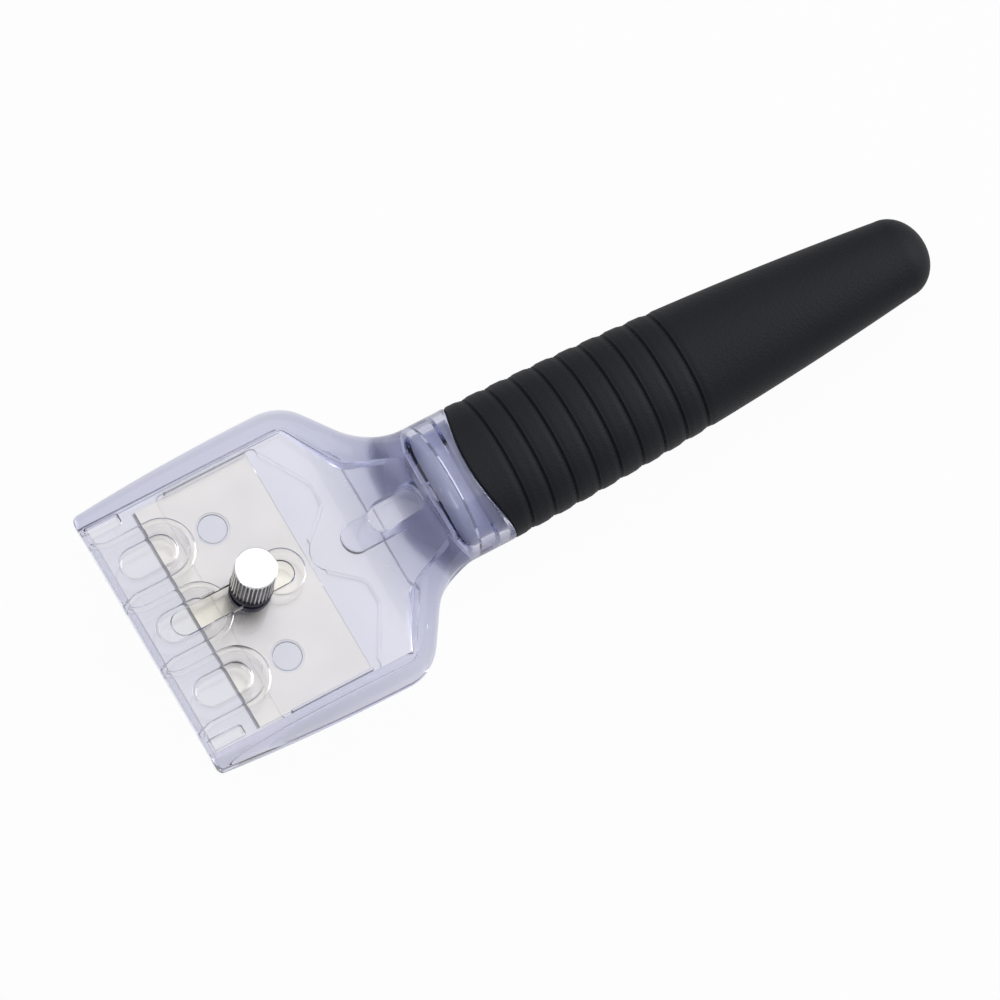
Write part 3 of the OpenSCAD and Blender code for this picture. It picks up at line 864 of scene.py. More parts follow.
def stack(name, outline, levels):
    """A closed piece from one flat outline and a list of (growth, height) levels."""
    rings = [[(x, y, z) for x, y in grown(outline, growth)] for growth, z in levels]
    return join_rings(name, rings, True)


print("growing outlines:", grown.__name__, stack.__name__)


# %% Levels of rounded edges
def arc_levels(growth, height, radius, start, end, steps=5):
    """Levels round a fillet whose centre has the given growth and height."""
    angles = np.radians(np.linspace(start, end, steps))
    return [(growth + radius * math.cos(a), height + radius * math.sin(a)) for a in angles]


def rounded_plate(low, high, radius):
    """Levels of a plate whose two edges are rounded."""
    return (
        arc_levels(-radius, low + radius, radius, -90, 0, 4)
        + arc_levels(-radius, high - radius, radius, 0, 90, 4)
    )


def pocket_levels(top, depth, hollow, rim_round, above=1.0):
    """Levels of a cutter with a wide hollow floor edge, a steep wall and a rounded rim."""
    floor, rim = top - depth, top - rim_round
    return (
        [(hollow * (math.sin(a) - 1), rim - (rim - floor) * math.cos(a))
         for a in np.radians(np.linspace(0, 88, 9))]
        + [(rim_round - rim_round * math.cos(a), rim + rim_round * math.sin(a))
           for a in np.radians(np.linspace(0, 90, 5))]
        + [(rim_round, top + above)]
    )


print("levels of a rounded plate:", len(rounded_plate(0, 1, 0.1)))

# %% [markdown]
# ### Outlines seen from above
#
# Nearly all of them are polygons with rounded corners, slots with round ends, or circles.
# The tool is alike on both sides, so many a polygon is given by one half and mirrored.


# %% Rounded polygons
def rounded_outline(corners, radii, steps=8):
    """An outline whose corners are arcs of the given radii."""
    points = [np.array(p, float) for p in corners]
    outline = []
    for i, (corner, radius) in enumerate(zip(points, radii)):
        if radius == 0:
            outline.append(tuple(corner))
            continue
        back = points[i - 1] - corner
        ahead = points[(i + 1) % len(points)] - corner
        back, ahead = back / np.linalg.norm(back), ahead / np.linalg.norm(ahead)
        half_angle = math.acos(float(np.clip(back @ ahead, -1, 1))) / 2
        bisector = (back + ahead) / np.linalg.norm(back + ahead)
        middle = corner + bisector * radius / math.sin(half_angle)
        first = corner + back * radius / math.tan(half_angle) - middle
        last = corner + ahead * radius / math.tan(half_angle) - middle
        start = math.atan2(first[1], first[0])
        sweep = math.remainder(math.atan2(last[1], last[0]) - start, 2 * math.pi)
        for k in range(steps + 1):
            angle = start + sweep * k / steps
            outline.append((middle[0] + radius * math.cos(angle), middle[1] + radius * math.sin(angle)))
    return [p for i, p in enumerate(outline) if math.dist(p, outline[i - 1]) > 1e-6]


print("points of a rounded square:", len(rounded_outline([(0, 0), (2, 0), (2, 2), (0, 2)], 4 * [0.5])))


# %% Slots, circles and boxes
def stadium(start, end, width, y=0.0, steps=24):
    """A slot's outline, from its outermost end to its other outermost end."""
    radius = width / 2
    outline = []
    for middle, first in ((end - radius, -90), (start + radius, 90)):
        for k in range(steps + 1):
            a = math.radians(first + 180 * k / steps)
            outline.append((middle + radius * math.cos(a), y + radius * math.sin(a)))
    return outline


def circle(s, y, radius, steps=64):
    angles = [2 * math.pi * k / steps for k in range(steps)]
    return [(s + radius * math.cos(a), y + radius * math.sin(a)) for a in angles]


def mirrored(corners):
    return corners + [(x, -y) for x, y in reversed(corners)]


def box_piece(name, low, high):
    (x0, y0, z0), (x1, y1, z1) = low, high
    return stack(name, [(x0, y0), (x1, y0), (x1, y1), (x0, y1)], [(0, z0), (0, z1)])


print("points of a slot:", len(stadium(0, 3, 1)), "and of a circle:", len(circle(0, 0, 1)))

# %% [markdown]
# ## Cutting and joining
#
# Pads are joined on and pockets are cut with Boolean modifiers, which are worked into the
# mesh at once. The manifold solver is quick and exact on closed meshes, and what it leaves
# is closed again, as clear plastic with an absorbing volume has to be.


# %% Booleans
def plain_mesh(piece):
    """The piece's mesh with its modifiers worked in, which are then removed."""
    seen = piece.evaluated_get(bpy.context.evaluated_depsgraph_get())
    mesh = bpy.data.meshes.new_from_object(seen)
    piece.modifiers.clear()
    piece.data = mesh


def combine(piece, operation, *tools):
    """Cuts the tools out of a piece, or joins them to it, and removes them."""
    for tool in tools:
        step = piece.modifiers.new(tool.name, "BOOLEAN")
        step.operation = operation
        step.solver = "MANIFOLD"
        step.object = tool
    plain_mesh(piece)
    for tool in tools:
        bpy.data.objects.remove(tool)


print("mesh workers:", plain_mesh.__name__, combine.__name__)

# %% [markdown]
# ## Shading that keeps flat faces flat
#
# Clear plastic shows how every face bends the view. Plain smooth shading would tilt the
# normals of a large flat face towards the small rounded edge beside it, and the whole face
# would look warped. So the normals are worked out here. Each face pulls on the normals at
# its corners with the area of its whole flat patch, so that a small rounded edge bends
# into a large flat face and never the other way.

# %% Flat patches
PLANE_STEP, NORMAL_STEPS = 0.005 * MM, 250


def read_all(items, field, width=1, kind=float):
    """One property of all the faces or corners of a mesh, as an array."""
    values = np.empty(len(items) * width, kind)
    items.foreach_get(field, values)
    return values.reshape(-1, width) if width > 1 else values


def face_pull(mesh):
    """Each face's normal, and the area of the flat patch that it is part of."""
    normal = read_all(mesh.polygons, "normal", 3)
    level = np.sum(normal * read_all(mesh.polygons, "center", 3), axis=1) / PLANE_STEP
    planes = np.round(np.column_stack([normal * NORMAL_STEPS, level])).astype(int)
    patch = np.unique(planes, axis=0, return_inverse=True)[1].ravel()
    area = np.bincount(patch, weights=read_all(mesh.polygons, "area"))
    return normal, area[patch]


print("faces within", PLANE_STEP, "m of one plane are one patch")

# %% [markdown]
# ### Which corners share a normal
#
# Two faces that meet at a gentle edge share the normals at both ends of it, and at a real
# edge they don't. So all corners round a point that are linked by gentle edges make a fan.
# Each corner starts with its own number, and the lowest number spreads through its fan.


# %% Fans of corners
def corner_fans(mesh, face, normal, crease):
    """A number for each face corner, shared by the corners that get one normal."""
    first = read_all(mesh.polygons, "loop_start", kind=int)
    size = read_all(mesh.polygons, "loop_total", kind=int)
    edge = read_all(mesh.loops, "edge_index", kind=int)
    following = np.arange(len(edge)) + 1
    following[first + size - 1] = first
    order = np.argsort(edge, kind="stable")
    same = edge[order][:-1] == edge[order][1:]
    corner, partner = order[:-1][same], order[1:][same]
    cosine = np.sum(normal[face[corner]] * normal[face[partner]], axis=1)
    gentle = cosine > math.cos(math.radians(crease))
    corner, partner = corner[gentle], partner[gentle]
    ends = np.concatenate([corner, following[corner]])
    others = np.concatenate([following[partner], partner])
    fan = np.arange(len(edge))
    while True:
        lowest = np.minimum(fan[ends], fan[others])
        merged = fan.copy()
        np.minimum.at(merged, ends, lowest)
        np.minimum.at(merged, others, lowest)
        if np.array_equal(merged, fan):
            return fan
        fan = merged


print("fans are made by", corner_fans.__name__)


# %% Moulded normals
def moulded_normals(piece, crease):
    """Smooth shading between real edges, in which a flat face stays flat up to its rim."""
    mesh = piece.data
    normal, pull = face_pull(mesh)
    corners = read_all(mesh.polygons, "loop_total", kind=int)
    face = np.repeat(np.arange(len(corners)), corners)
    fan = corner_fans(mesh, face, normal, crease)
    total = np.zeros((len(fan), 3))
    np.add.at(total, fan, normal[face] * pull[face][:, None])
    shading = total[fan]
    shading /= np.linalg.norm(shading, axis=1)[:, None]
    mesh.shade_smooth()
    mesh.normals_split_custom_set(shading.tolist())


print("custom normals are set by", moulded_normals.__name__)

# %% [markdown]
# ### Finishing a piece
#
# Every piece ends in the same steps: its materials, its shading, and its place on the body
# that moves it. Three pieces have a second material, and a small test of a face says where.


# %% Finish of a piece
def finish_piece(piece, body, node, slot_name, *materials, crease=36, second=None):
    """Dresses and shades a piece, and puts it on its body in place of its node."""
    mesh = piece.data
    mesh.materials.clear()
    for material in materials:
        mesh.materials.append(material)
    for face in mesh.polygons:
        face.material_index = int(second is not None and second(face))
    moulded_normals(piece, crease)
    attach(piece, body)
    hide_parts(node)
    print(piece.name, "has", len(mesh.polygons), "faces and", [m.name for m in materials])


print("each piece ends in", finish_piece.__name__)

# %% [markdown]
# ## The clear head
#
# The head is one injection moulding: a flat plate with flaring sides that swells into an
# oval neck and a round collar. A maker would draw its plan and its side view and loft
# between them, which is what the rings do here. In plan, a shoulder arc, a straight slope
# and a neck arc follow the flared side, each tangent to the next.

# %% Plan of the head
FRONT_HALF, BACK_HALF = 21.6, 23.15
SHOULDER_START, SHOULDER_R, SHOULDER_ANGLE = 31.6, 7.0, math.radians(56)
NECK_R = 10.5
FRONT_CORNER_R = 1.0

shoulder_end = SHOULDER_START + SHOULDER_R * math.sin(SHOULDER_ANGLE)
shoulder_end_half = BACK_HALF - SHOULDER_R * (1 - math.cos(SHOULDER_ANGLE))
slope_end_half = COLLAR_HALF + NECK_R * (1 - math.cos(SHOULDER_ANGLE))
slope_end = shoulder_end + (shoulder_end_half - slope_end_half) / math.tan(SHOULDER_ANGLE)
neck_start = slope_end + NECK_R * math.sin(SHOULDER_ANGLE)


def head_half(s):
    """Half width of the head: flared side, shoulder arc, slope, neck arc, collar."""
    if s < SHOULDER_START:
        corner = 0.0
        if s < FRONT_CORNER_R:
            corner = FRONT_CORNER_R - math.sqrt(FRONT_CORNER_R**2 - (FRONT_CORNER_R - s) ** 2)
        return FRONT_HALF + (BACK_HALF - FRONT_HALF) * (1 - (1 - s / SHOULDER_START) ** 2) - corner
    if s < shoulder_end:
        return BACK_HALF - SHOULDER_R + math.sqrt(SHOULDER_R**2 - (s - SHOULDER_START) ** 2)
    if s < slope_end:
        return shoulder_end_half - (s - shoulder_end) * math.tan(SHOULDER_ANGLE)
    if s < neck_start:
        return COLLAR_HALF + NECK_R - math.sqrt(NECK_R**2 - (neck_start - s) ** 2)
    return COLLAR_HALF


print("shoulder ends at", round(shoulder_end, 2), "and the neck starts at", round(neck_start, 2))


# %% Turn of the head's side
def side_cosine(s):
    """How far the side has turned from the tool's length, as a cosine."""
    if s < SHOULDER_START or s >= neck_start:
        return 1.0
    if s < shoulder_end:
        return math.sqrt(1 - ((s - SHOULDER_START) / SHOULDER_R) ** 2)
    if s < slope_end:
        return math.cos(SHOULDER_ANGLE)
    return math.sqrt(1 - ((neck_start - s) / NECK_R) ** 2)


print("the slope stands at", round(math.degrees(math.acos(side_cosine(slope_end - 0.1)))), "degrees")

# %% [markdown]
# ### Side view of the head
#
# Seen from the side, the top rises to the collar from the shoulders on, and the belly
# drops a good way behind them. The edges at the sides are rounded, more so to the rear.
# The front edge has a bevel above and below, and its face leans back towards the
# underside, so that it shows from above as a narrow band only.

# %% Rings of the head
RISE_START, BELLY_START = 31.9, 42.8
FRONT_BEVEL = 0.6
UNDERCUT, UNDERCUT_LENGTH = 0.16, 4.0
ROUND_FRONT, ROUND_BACK, BOTTOM_ROUND = 1.7, 3.0, 0.7


def ease(t):
    t = min(max(t, 0.0), 1.0)
    return t * t * (3 - 2 * t)


def between(a, b, t):
    return a + (b - a) * t


def head_ring(s):
    neck = ease((s - RISE_START) / (neck_start - RISE_START))
    belly = ease((s - BELLY_START) / (neck_start - BELLY_START))
    wide, rise = head_half(s), between(HEAD_TOP, COLLAR_RISE, neck)
    drop = between(HEAD_BOTTOM, -COLLAR_RISE, belly)
    edge = between(ROUND_FRONT, ROUND_BACK, min(s / SHOULDER_START, 1))
    across = between(edge / side_cosine(s), OVAL_SHARE * wide, neck)
    down = between(edge, OVAL_SHARE * rise, neck)
    low_across = between(BOTTOM_ROUND, OVAL_SHARE * wide, belly)
    low_down = between(BOTTOM_ROUND, -OVAL_SHARE * drop, belly)
    cut = FRONT_BEVEL * max(0.0, 1 - s / FRONT_BEVEL)
    outline = ring(
        s, wide, rise - cut, drop + cut, (min(across, OVAL_SHARE * wide), down), (low_across, low_down)
    )
    set_back = UNDERCUT * max(0.0, 1 - s / UNDERCUT_LENGTH)
    return [(x + set_back * max(0.0, rise - FRONT_BEVEL - z), y, z) for x, y, z in outline]


print("front ring from", round(min(x for x, y, z in head_ring(0)), 2),
      "to", round(max(x for x, y, z in head_ring(0)), 2))

# %% [markdown]
# ### The head's body
#
# The front two thirds are plain, so a few rings hold them. The shoulders and the neck get
# many, because clear plastic shows every facet twice. The last rings round off the rim of
# the collar along its scallop.

# %% Body of the head
RIM_ROUND = 0.35
FIRST_RIM_RING, FIRST_RIM_DIP = 1.4, 0.6
corner_stations = [FRONT_CORNER_R * (1 - math.cos(math.radians(a))) for a in range(0, 91, 15)]
head_stations = np.unique(np.round(np.concatenate([
    corner_stations,
    [FRONT_BEVEL],
    np.linspace(FRONT_CORNER_R, SHOULDER_START, 14),
    np.linspace(SHOULDER_START, slope_end, 28),
    np.linspace(slope_end, neck_start, 26),
]), 4))
rim_rings = [oval(neck_start + FIRST_RIM_RING, COLLAR_HALF, COLLAR_RISE, FIRST_RIM_DIP)]
rim_rings += [
    oval(
        COLLAR_END - RIM_ROUND * (1 - math.sin(a)),
        COLLAR_HALF - RIM_ROUND * (1 - math.cos(a)),
        COLLAR_RISE - RIM_ROUND * (1 - math.cos(a)),
        RIM_DIP,
    )
    for a in np.radians(np.linspace(0, 90, 6))
]
head = join_rings("clear_head", [head_ring(s) for s in head_stations] + rim_rings)
print("head body:", len(head.data.polygons), "faces")

# %% [markdown]
# ### Pads with a moat
#
# Three tongue-shaped pads stand a quarter of a millimetre proud and run out at the front
# edge. The photograph shows two lines round each pad, a dark one at its foot and a pale one
# beside it. A shallow round-bottomed moat round the foot bends the view enough for both,
# where a plain step would show a single thin line. So the moat is cut first, and the pad
# is joined on inside it.

# %% Pads
PAD_LENGTH, PAD_WIDTH, PAD_FLARE, PAD_FLARE_R, PAD_ROUND = 13.3, 8.0, 0.9, 2.4, 0.3
PAD_PLACES = (-PEG_OFFSET, 0.0, PEG_OFFSET)
MOAT_DEPTH, MOAT_WIDTH = 0.42, 0.85

pad_half = PAD_WIDTH / 2
pad_outline = rounded_outline(
    mirrored([(0, pad_half + PAD_FLARE), (PAD_FLARE_R, pad_half), (PAD_LENGTH, pad_half)]),
    [0, PAD_FLARE_R, pad_half, pad_half, PAD_FLARE_R, 0],
    16,
)
pad_levels = [(0, HEAD_TOP - FRONT_BEVEL), (0, HEAD_TOP - MOAT_DEPTH)] + arc_levels(
    -PAD_ROUND, PAD_TOP - PAD_ROUND, PAD_ROUND, 0, 90, 8
)
moat_levels = [(0.1, HEAD_TOP - MOAT_DEPTH)] + [
    (MOAT_WIDTH / 2 * (1 + math.sin(a)), HEAD_TOP - MOAT_DEPTH * math.cos(a))
    for a in np.radians(np.linspace(0, 86, 8))
] + [(MOAT_WIDTH, HEAD_TOP + 1)]
for operation, kind, levels in (("DIFFERENCE", "moat", moat_levels), ("UNION", "pad", pad_levels)):
    combine(head, operation, *[
        stack(f"{kind}_{i}", [(x, y + place) for x, y in pad_outline], levels)
        for i, place in enumerate(PAD_PLACES)
    ])
print("head with", len(PAD_PLACES), "pads:", len(head.data.polygons), "faces")

# %% [markdown]
# ### Space for the carrier
#
# The head is hollow below its top plate, where the carrier slides with the blade. The
# hollow runs on under the neck, past the place where the carrier stops, since a moulder
# keeps walls even. A tongue with a round front stands in the rear of it. The carrier's
# notch meets this tongue when the blade is drawn in.

# %% Cavity and stop
CAVITY_HALF, CAVITY_FRONT, CAVITY_SIDE_END, CAVITY_BEND, LOBE_OUTER = 19.3, 1.3, 34.1, 39.3, 10.3
CAVITY_END, CAVITY_END_HALF = 47.0, 6.1
STOP_TIP, STOP_WIDTH, STOP_TOP, STOP_ROUND = 33.43, 4.8, -0.3, 0.3

cavity_outline = rounded_outline(
    mirrored([(CAVITY_FRONT, CAVITY_HALF), (CAVITY_SIDE_END, CAVITY_HALF),
              (CAVITY_BEND, LOBE_OUTER), (CAVITY_END, CAVITY_END_HALF)]),
    [0, 0.8, 3, 1.5, 1.5, 3, 0.8, 0],
)
cavity = stack(
    "cavity",
    cavity_outline,
    [(0, BASE_TOP - 0.05), (0, CEILING - 0.05), (-0.05, CEILING)],
)
stop_tongue = stack(
    "stop_tongue",
    stadium(STOP_TIP, CAVITY_END + 3, STOP_WIDTH),
    [(0, BASE_TOP - 1)] + arc_levels(-STOP_ROUND, STOP_TOP - STOP_ROUND, STOP_ROUND, 0, 90),
)
combine(cavity, "DIFFERENCE", stop_tongue)
print("cavity:", len(cavity.data.polygons), "faces")

# %% [markdown]
# ### Seat of the base plate, and the blade's slit
#
# The base plate closes the hollow from below and rests on a narrow ledge round it, so its
# seat has the hollow's outline, a little wider. The same function gives the plate itself
# with a gap. In front the seat is open, and above the plate the blade's slit is cut.

# %% Seat and slit
LEDGE, BASE_FRONT, BASE_CORNER_R = 0.7, 0.8, 3
SLIT_HALF, SLIT_END = 18.7, 2.3
seat_wide = CAVITY_HALF + LEDGE


def base_outline(gap):
    wide = seat_wide - gap
    bend = CAVITY_BEND + LEDGE - gap
    return rounded_outline(
        mirrored([(BASE_FRONT, wide), (CAVITY_SIDE_END, wide), (bend, LOBE_OUTER + LEDGE)]),
        [0] + 4 * [BASE_CORNER_R] + [0],
    )


base_seat = stack("base_seat", base_outline(0), [(0, HEAD_BOTTOM - 1), (0, BASE_TOP)])
seat_mouth = box_piece("seat_mouth", (-1, -seat_wide, HEAD_BOTTOM - 1), (1, seat_wide, BASE_TOP))
blade_slit = box_piece(
    "blade_slit", (-1, -SLIT_HALF, BASE_TOP - 1), (SLIT_END, SLIT_HALF, BLADE_TOP + 0.1)
)
combine(head, "DIFFERENCE", cavity, base_seat, seat_mouth, blade_slit)
print("hollow head:", len(head.data.polygons), "faces")

# %% [markdown]
# ### Slot, counterbore, pockets and recess
#
# The screw runs in a slot with a round counterbore at its rear end. Each pad has a pocket,
# as has each front corner, and the neck has an oblong recess. All are cut with rounded
# solids, and their rims are slightly rounded too, as the edges of a mould are.

# %% Slot and counterbore
SLOT_START, SLOT_END, SLOT_WIDTH, SLOT_CHAMFER = 4.9, 24.7, 3.8, 0.15
RING_PLACE, RING_D, RING_DEPTH, RING_HOLLOW = 22.8, 7.2, 0.5, 0.45
SMALL_RIM_ROUND = 0.12

slot = stack(
    "slot",
    stadium(SLOT_START, SLOT_END, SLOT_WIDTH),
    [(SLOT_CHAMFER, CEILING - 1), (SLOT_CHAMFER, CEILING), (0, CEILING + SLOT_CHAMFER), (0, PAD_TOP - 0.5),
     (0, HEAD_TOP - SMALL_RIM_ROUND), (0.1, HEAD_TOP), (0.1, PAD_TOP + 1)],
)
counterbore = stack(
    "counterbore",
    circle(RING_PLACE, 0, RING_D / 2),
    pocket_levels(HEAD_TOP, RING_DEPTH, RING_HOLLOW, SMALL_RIM_ROUND),
)
print("slot from", SLOT_START, "to", SLOT_END)

# %% Pockets and recess
POCKET_START, POCKET_END, POCKET_WIDTH = 2.4, 11.45, 4.9
POCKET_DEPTH, POCKET_HOLLOW, POCKET_RIM_ROUND = 0.6, 0.8, 0.3
CORNER_POCKET = (0.6, 6.2, 17.15, 19.05)
CORNER_POCKET_R, CORNER_POCKET_DEPTH, CORNER_POCKET_HOLLOW = 0.5, 0.8, 0.35
RECESS, RECESS_ROUND = (37.4, 46.2, 4.5), 0.5

pockets = [
    stack(
        f"pocket_{i}",
        stadium(POCKET_START, POCKET_END, POCKET_WIDTH, place),
        pocket_levels(PAD_TOP, POCKET_DEPTH + PAD_TOP - HEAD_TOP, POCKET_HOLLOW, POCKET_RIM_ROUND),
    )
    for i, place in enumerate(PAD_PLACES)
]
x0, x1, y0, y1 = CORNER_POCKET
corner_pockets = [
    stack(
        f"corner_pocket_{side}",
        rounded_outline([(x0, side * y0), (x1, side * y0), (x1, side * y1), (x0, side * y1)],
                        4 * [CORNER_POCKET_R], 6),
        pocket_levels(HEAD_TOP, CORNER_POCKET_DEPTH, CORNER_POCKET_HOLLOW, SMALL_RIM_ROUND),
    )
    for side in (-1, 1)
]
recess = stack(
    "recess",
    stadium(*RECESS),
    arc_levels(-RECESS_ROUND, PAD_TOP + RECESS_ROUND, RECESS_ROUND, -90, 0) + [(0.12, COLLAR_RISE + 1)],
)
combine(head, "DIFFERENCE", slot, counterbore, *pockets, *corner_pockets, recess)
print("head with pockets:", len(head.data.polygons), "faces")

# %% [markdown]
# ### The plug and its socket
#
# The handle's core ends in an oval plug with a rounded front and one snap groove, and the
# collar sits round it. One function gives both surfaces, the socket's a twentieth of a
# millimetre outside the plug's, because clear faces that touch render black.

# %% Plug rings
GRIP_WALL = 1.8
PLUG_LENGTH, PLUG_DOME = 9.0, 3.0
SNAP_START, SNAP_LENGTH, SNAP_DEPTH = 2.6, 2.8, 0.5
plug_half, plug_rise = COLLAR_HALF - GRIP_WALL, COLLAR_RISE - GRIP_WALL
plug_front = COLLAR_END - PLUG_LENGTH
snap_end = COLLAR_END - SNAP_START
snap_front = snap_end - SNAP_LENGTH


def plug_rings(gap):
    wide, rise = plug_half + gap, plug_rise + gap
    rings = []
    for a in np.radians(np.linspace(0, 90, 9)):
        draw = PLUG_DOME * (1 - math.sin(a))
        rings.append(oval(plug_front - gap + PLUG_DOME * (1 - math.cos(a)), wide - draw, rise - draw))
    for place, depth, dip in (
        (snap_front - SNAP_DEPTH, 0, 0),
        (snap_front, SNAP_DEPTH, 0),
        (snap_end, SNAP_DEPTH, RIM_DIP / 2),
        (snap_end + SNAP_DEPTH, 0, RIM_DIP / 2),
    ):
        rings.append(oval(place, wide - depth, rise - depth, dip))
    return rings


socket = join_rings(
    "socket",
    plug_rings(SEAT_GAP) + [oval(COLLAR_END + 1, plug_half + SEAT_GAP, plug_rise + SEAT_GAP)],
)
combine(head, "DIFFERENCE", socket)
finish_piece(head, "handle_and_head", "head_shell", "clear_head", HEAD_PLASTIC)

# %% [markdown]
# ## The clear base plate
#
# A flat plate closes the head from below. Its seam is one of the lines that show along
# the head's lower side in the photograph. A plain box wouldn't follow the seat in the head,
# so the function that cut the seat makes the plate too, a twentieth of a millimetre smaller.

# %% Base plate
BASE_ROUND = 0.12
base_levels = rounded_plate(HEAD_BOTTOM, BASE_TOP - SEAT_GAP, BASE_ROUND)
base = stack("clear_base", base_outline(SEAT_GAP), base_levels)
finish_piece(base, "handle_and_head", "base_plate", "clear_base", BASE_PLASTIC)

# %% [markdown]
# ## The blade carrier
#
# The carrier is a thin clear plate over the blade. In the photograph it shows only as a
# wavy line behind the blade, where its rear edge has two lobes and a notch. A thick plate
# would draw a dark line over the blade wherever it steps. So the plate is thin, and its
# edge behind the blade is a half-round ridge, which draws the wavy line.

# %% Plate and ridge
CARRIER_FRONT, CARRIER_HALF, BLADE_BACK, TAIL_END = 12.6, 19.0, 27.6, 34.0
LOBE_INNER, NOTCH_R = 6.4, 3.1
PLATE_TOP, RIDGE_TOP, RIDGE_R, PLATE_ROUND = -0.66, -0.2, 0.36, 0.14
RIDGE_START = BLADE_BACK + 1.4

carrier_edge = [(CARRIER_FRONT, CARRIER_HALF), (BLADE_BACK + 1.2, CARRIER_HALF),
                (TAIL_END, LOBE_OUTER), (TAIL_END, LOBE_INNER)]
carrier_radii = [0.8, 0.8, 2.5, 1.8]
carrier_outline = rounded_outline(
    carrier_edge + [(BLADE_BACK - 1, 0)] + [(x, -y) for x, y in reversed(carrier_edge)],
    carrier_radii + [NOTCH_R] + carrier_radii[::-1],
    12,
)
carrier = stack(
    "clear_carrier",
    carrier_outline,
    arc_levels(-PLATE_ROUND, BLADE_BOTTOM + PLATE_ROUND, PLATE_ROUND, -90, 0, 4)
    + arc_levels(-RIDGE_R, RIDGE_TOP - RIDGE_R, RIDGE_R, 0, 90, 8),
)
inside_ridge = stack(
    "inside_ridge",
    carrier_outline,
    [(-2 * RIDGE_R, PLATE_TOP)]
    + [(-RIDGE_R * (1 + math.cos(a)), RIDGE_TOP - RIDGE_R * (1 - math.sin(a)))
       for a in np.radians(np.linspace(5, 90, 8))]
    + [(-RIDGE_R, 2)],
)
over_blade = box_piece(
    "over_blade",
    (CARRIER_FRONT - 1, -CARRIER_HALF - 1, PLATE_TOP),
    (RIDGE_START, CARRIER_HALF + 1, 2),
)
print("carrier outline:", len(carrier_outline), "points")

# %% [markdown]
# ### Room for the blade, pegs and rails
#
# From below, a shallow recess holds the blade, and a round hole holds the threaded insert.
# Two pegs reach down through the blade's outer holes, and a thin rail on each side keeps
# the carrier straight under the head's top plate.

# %% Recess, pegs and rails
BLADE_HALF, BLADE_PLAY, BLADE_SEAT = 18.4, 0.05, 0.03
PEG_R, PEG_ROUND, INSERT_R = 2.2, 0.2, 3.15
RAIL_FRONT, RAIL_WIDTH, RAIL_CORNER_R = 14, 0.45, 0.15

blade_recess = box_piece(
    "blade_recess",
    (CARRIER_FRONT - 1, -BLADE_HALF - BLADE_PLAY, BLADE_BOTTOM - 1),
    (BLADE_BACK + BLADE_PLAY, BLADE_HALF + BLADE_PLAY, BLADE_TOP + BLADE_SEAT),
)
insert_hole = stack("insert_hole", circle(KNOB_AXIS, 0, INSERT_R - 0.02), [(0, -2), (0, 2)])
combine(carrier, "DIFFERENCE", inside_ridge, over_blade, blade_recess, insert_hole)

peg_levels = arc_levels(-PEG_ROUND, BLADE_BOTTOM + PEG_ROUND, PEG_ROUND, -90, 0, 4)
peg_levels.append((0, BLADE_TOP + 0.1))
rail_levels = [
    (0, BLADE_TOP), (0, CARRIER_TOP - 0.15), (-0.04, CARRIER_TOP - 0.05), (-0.12, CARRIER_TOP)
]
rail_in, rail_out = CARRIER_HALF - RAIL_WIDTH, CARRIER_HALF - 0.02
pegs = [
    stack(f"peg_{side}", circle(KNOB_AXIS, side * PEG_OFFSET, PEG_R), peg_levels)
    for side in (-1, 1)
]
rails = [
    stack(
        f"rail_{side}",
        rounded_outline(
            [(RAIL_FRONT, side * rail_in), (BLADE_BACK, side * rail_in),
             (BLADE_BACK, side * rail_out), (RAIL_FRONT, side * rail_out)],
            4 * [RAIL_CORNER_R],
        ),
        rail_levels,
    )
    for side in (-1, 1)
]
combine(carrier, "UNION", *pegs, *rails)
finish_piece(carrier, "carriage", "blade_carrier", "clear_carrier", CARRIER_PLASTIC)

# %% [markdown]
# ## The blade
#
# A thin flat blade of satin steel. Its front edge is ground in two steps, and the ground band
# is painted darker than the blade, as a painted reflection, so it shows as a dark line in
# front of the bright face. A Bevel modifier would round the edge that has to be sharp, so the
# blade's side view is swept across the tool, and the three holes are cut. The ground band
# has a material of its own, with its painted dark reflection.

# %% Blade
BLADE_FRONT, BLADE_HOLE_R = 8.6, 2.55
BEVEL, FINE_BEVEL, EDGE = 0.45, 0.25, 0.06
profile = [
    (BLADE_FRONT, BLADE_BOTTOM), (BLADE_BACK, BLADE_BOTTOM), (BLADE_BACK, BLADE_TOP),
    (BLADE_FRONT + BEVEL, BLADE_TOP), (BLADE_FRONT + FINE_BEVEL, BLADE_BOTTOM + EDGE + 0.06),
    (BLADE_FRONT, BLADE_BOTTOM + EDGE),
]
blade = join_rings(
    "razor_blade_steel",
    [[(s, y, z) for s, z in profile] for y in np.linspace(-BLADE_HALF, BLADE_HALF, 2)],
    True,
)
holes = [
    stack(f"hole_{i}", circle(KNOB_AXIS, y, BLADE_HOLE_R), [(0, -3), (0, 3)])
    for i, y in enumerate(PAD_PLACES)
]
combine(blade, "DIFFERENCE", *holes)


def is_ground(face):
    return face.normal.z > 0.2 and face.normal.x < -0.1


print("ground faces:", sum(is_ground(face) for face in blade.data.polygons))
finish_piece(
    blade, "carriage", "razor_blade", "blade_steel", BLADE_STEEL, EDGE_STEEL_PAINTED_DARK, crease=12, second=is_ground
)

# %% [markdown]
# ## Turned pieces
#
# The insert, the washer and the screw are turned on a lathe, so each is a profile spun
# round the screw's axis. A profile that touches the axis leaves points on top of each
# other there, which are merged so that the mesh is closed.


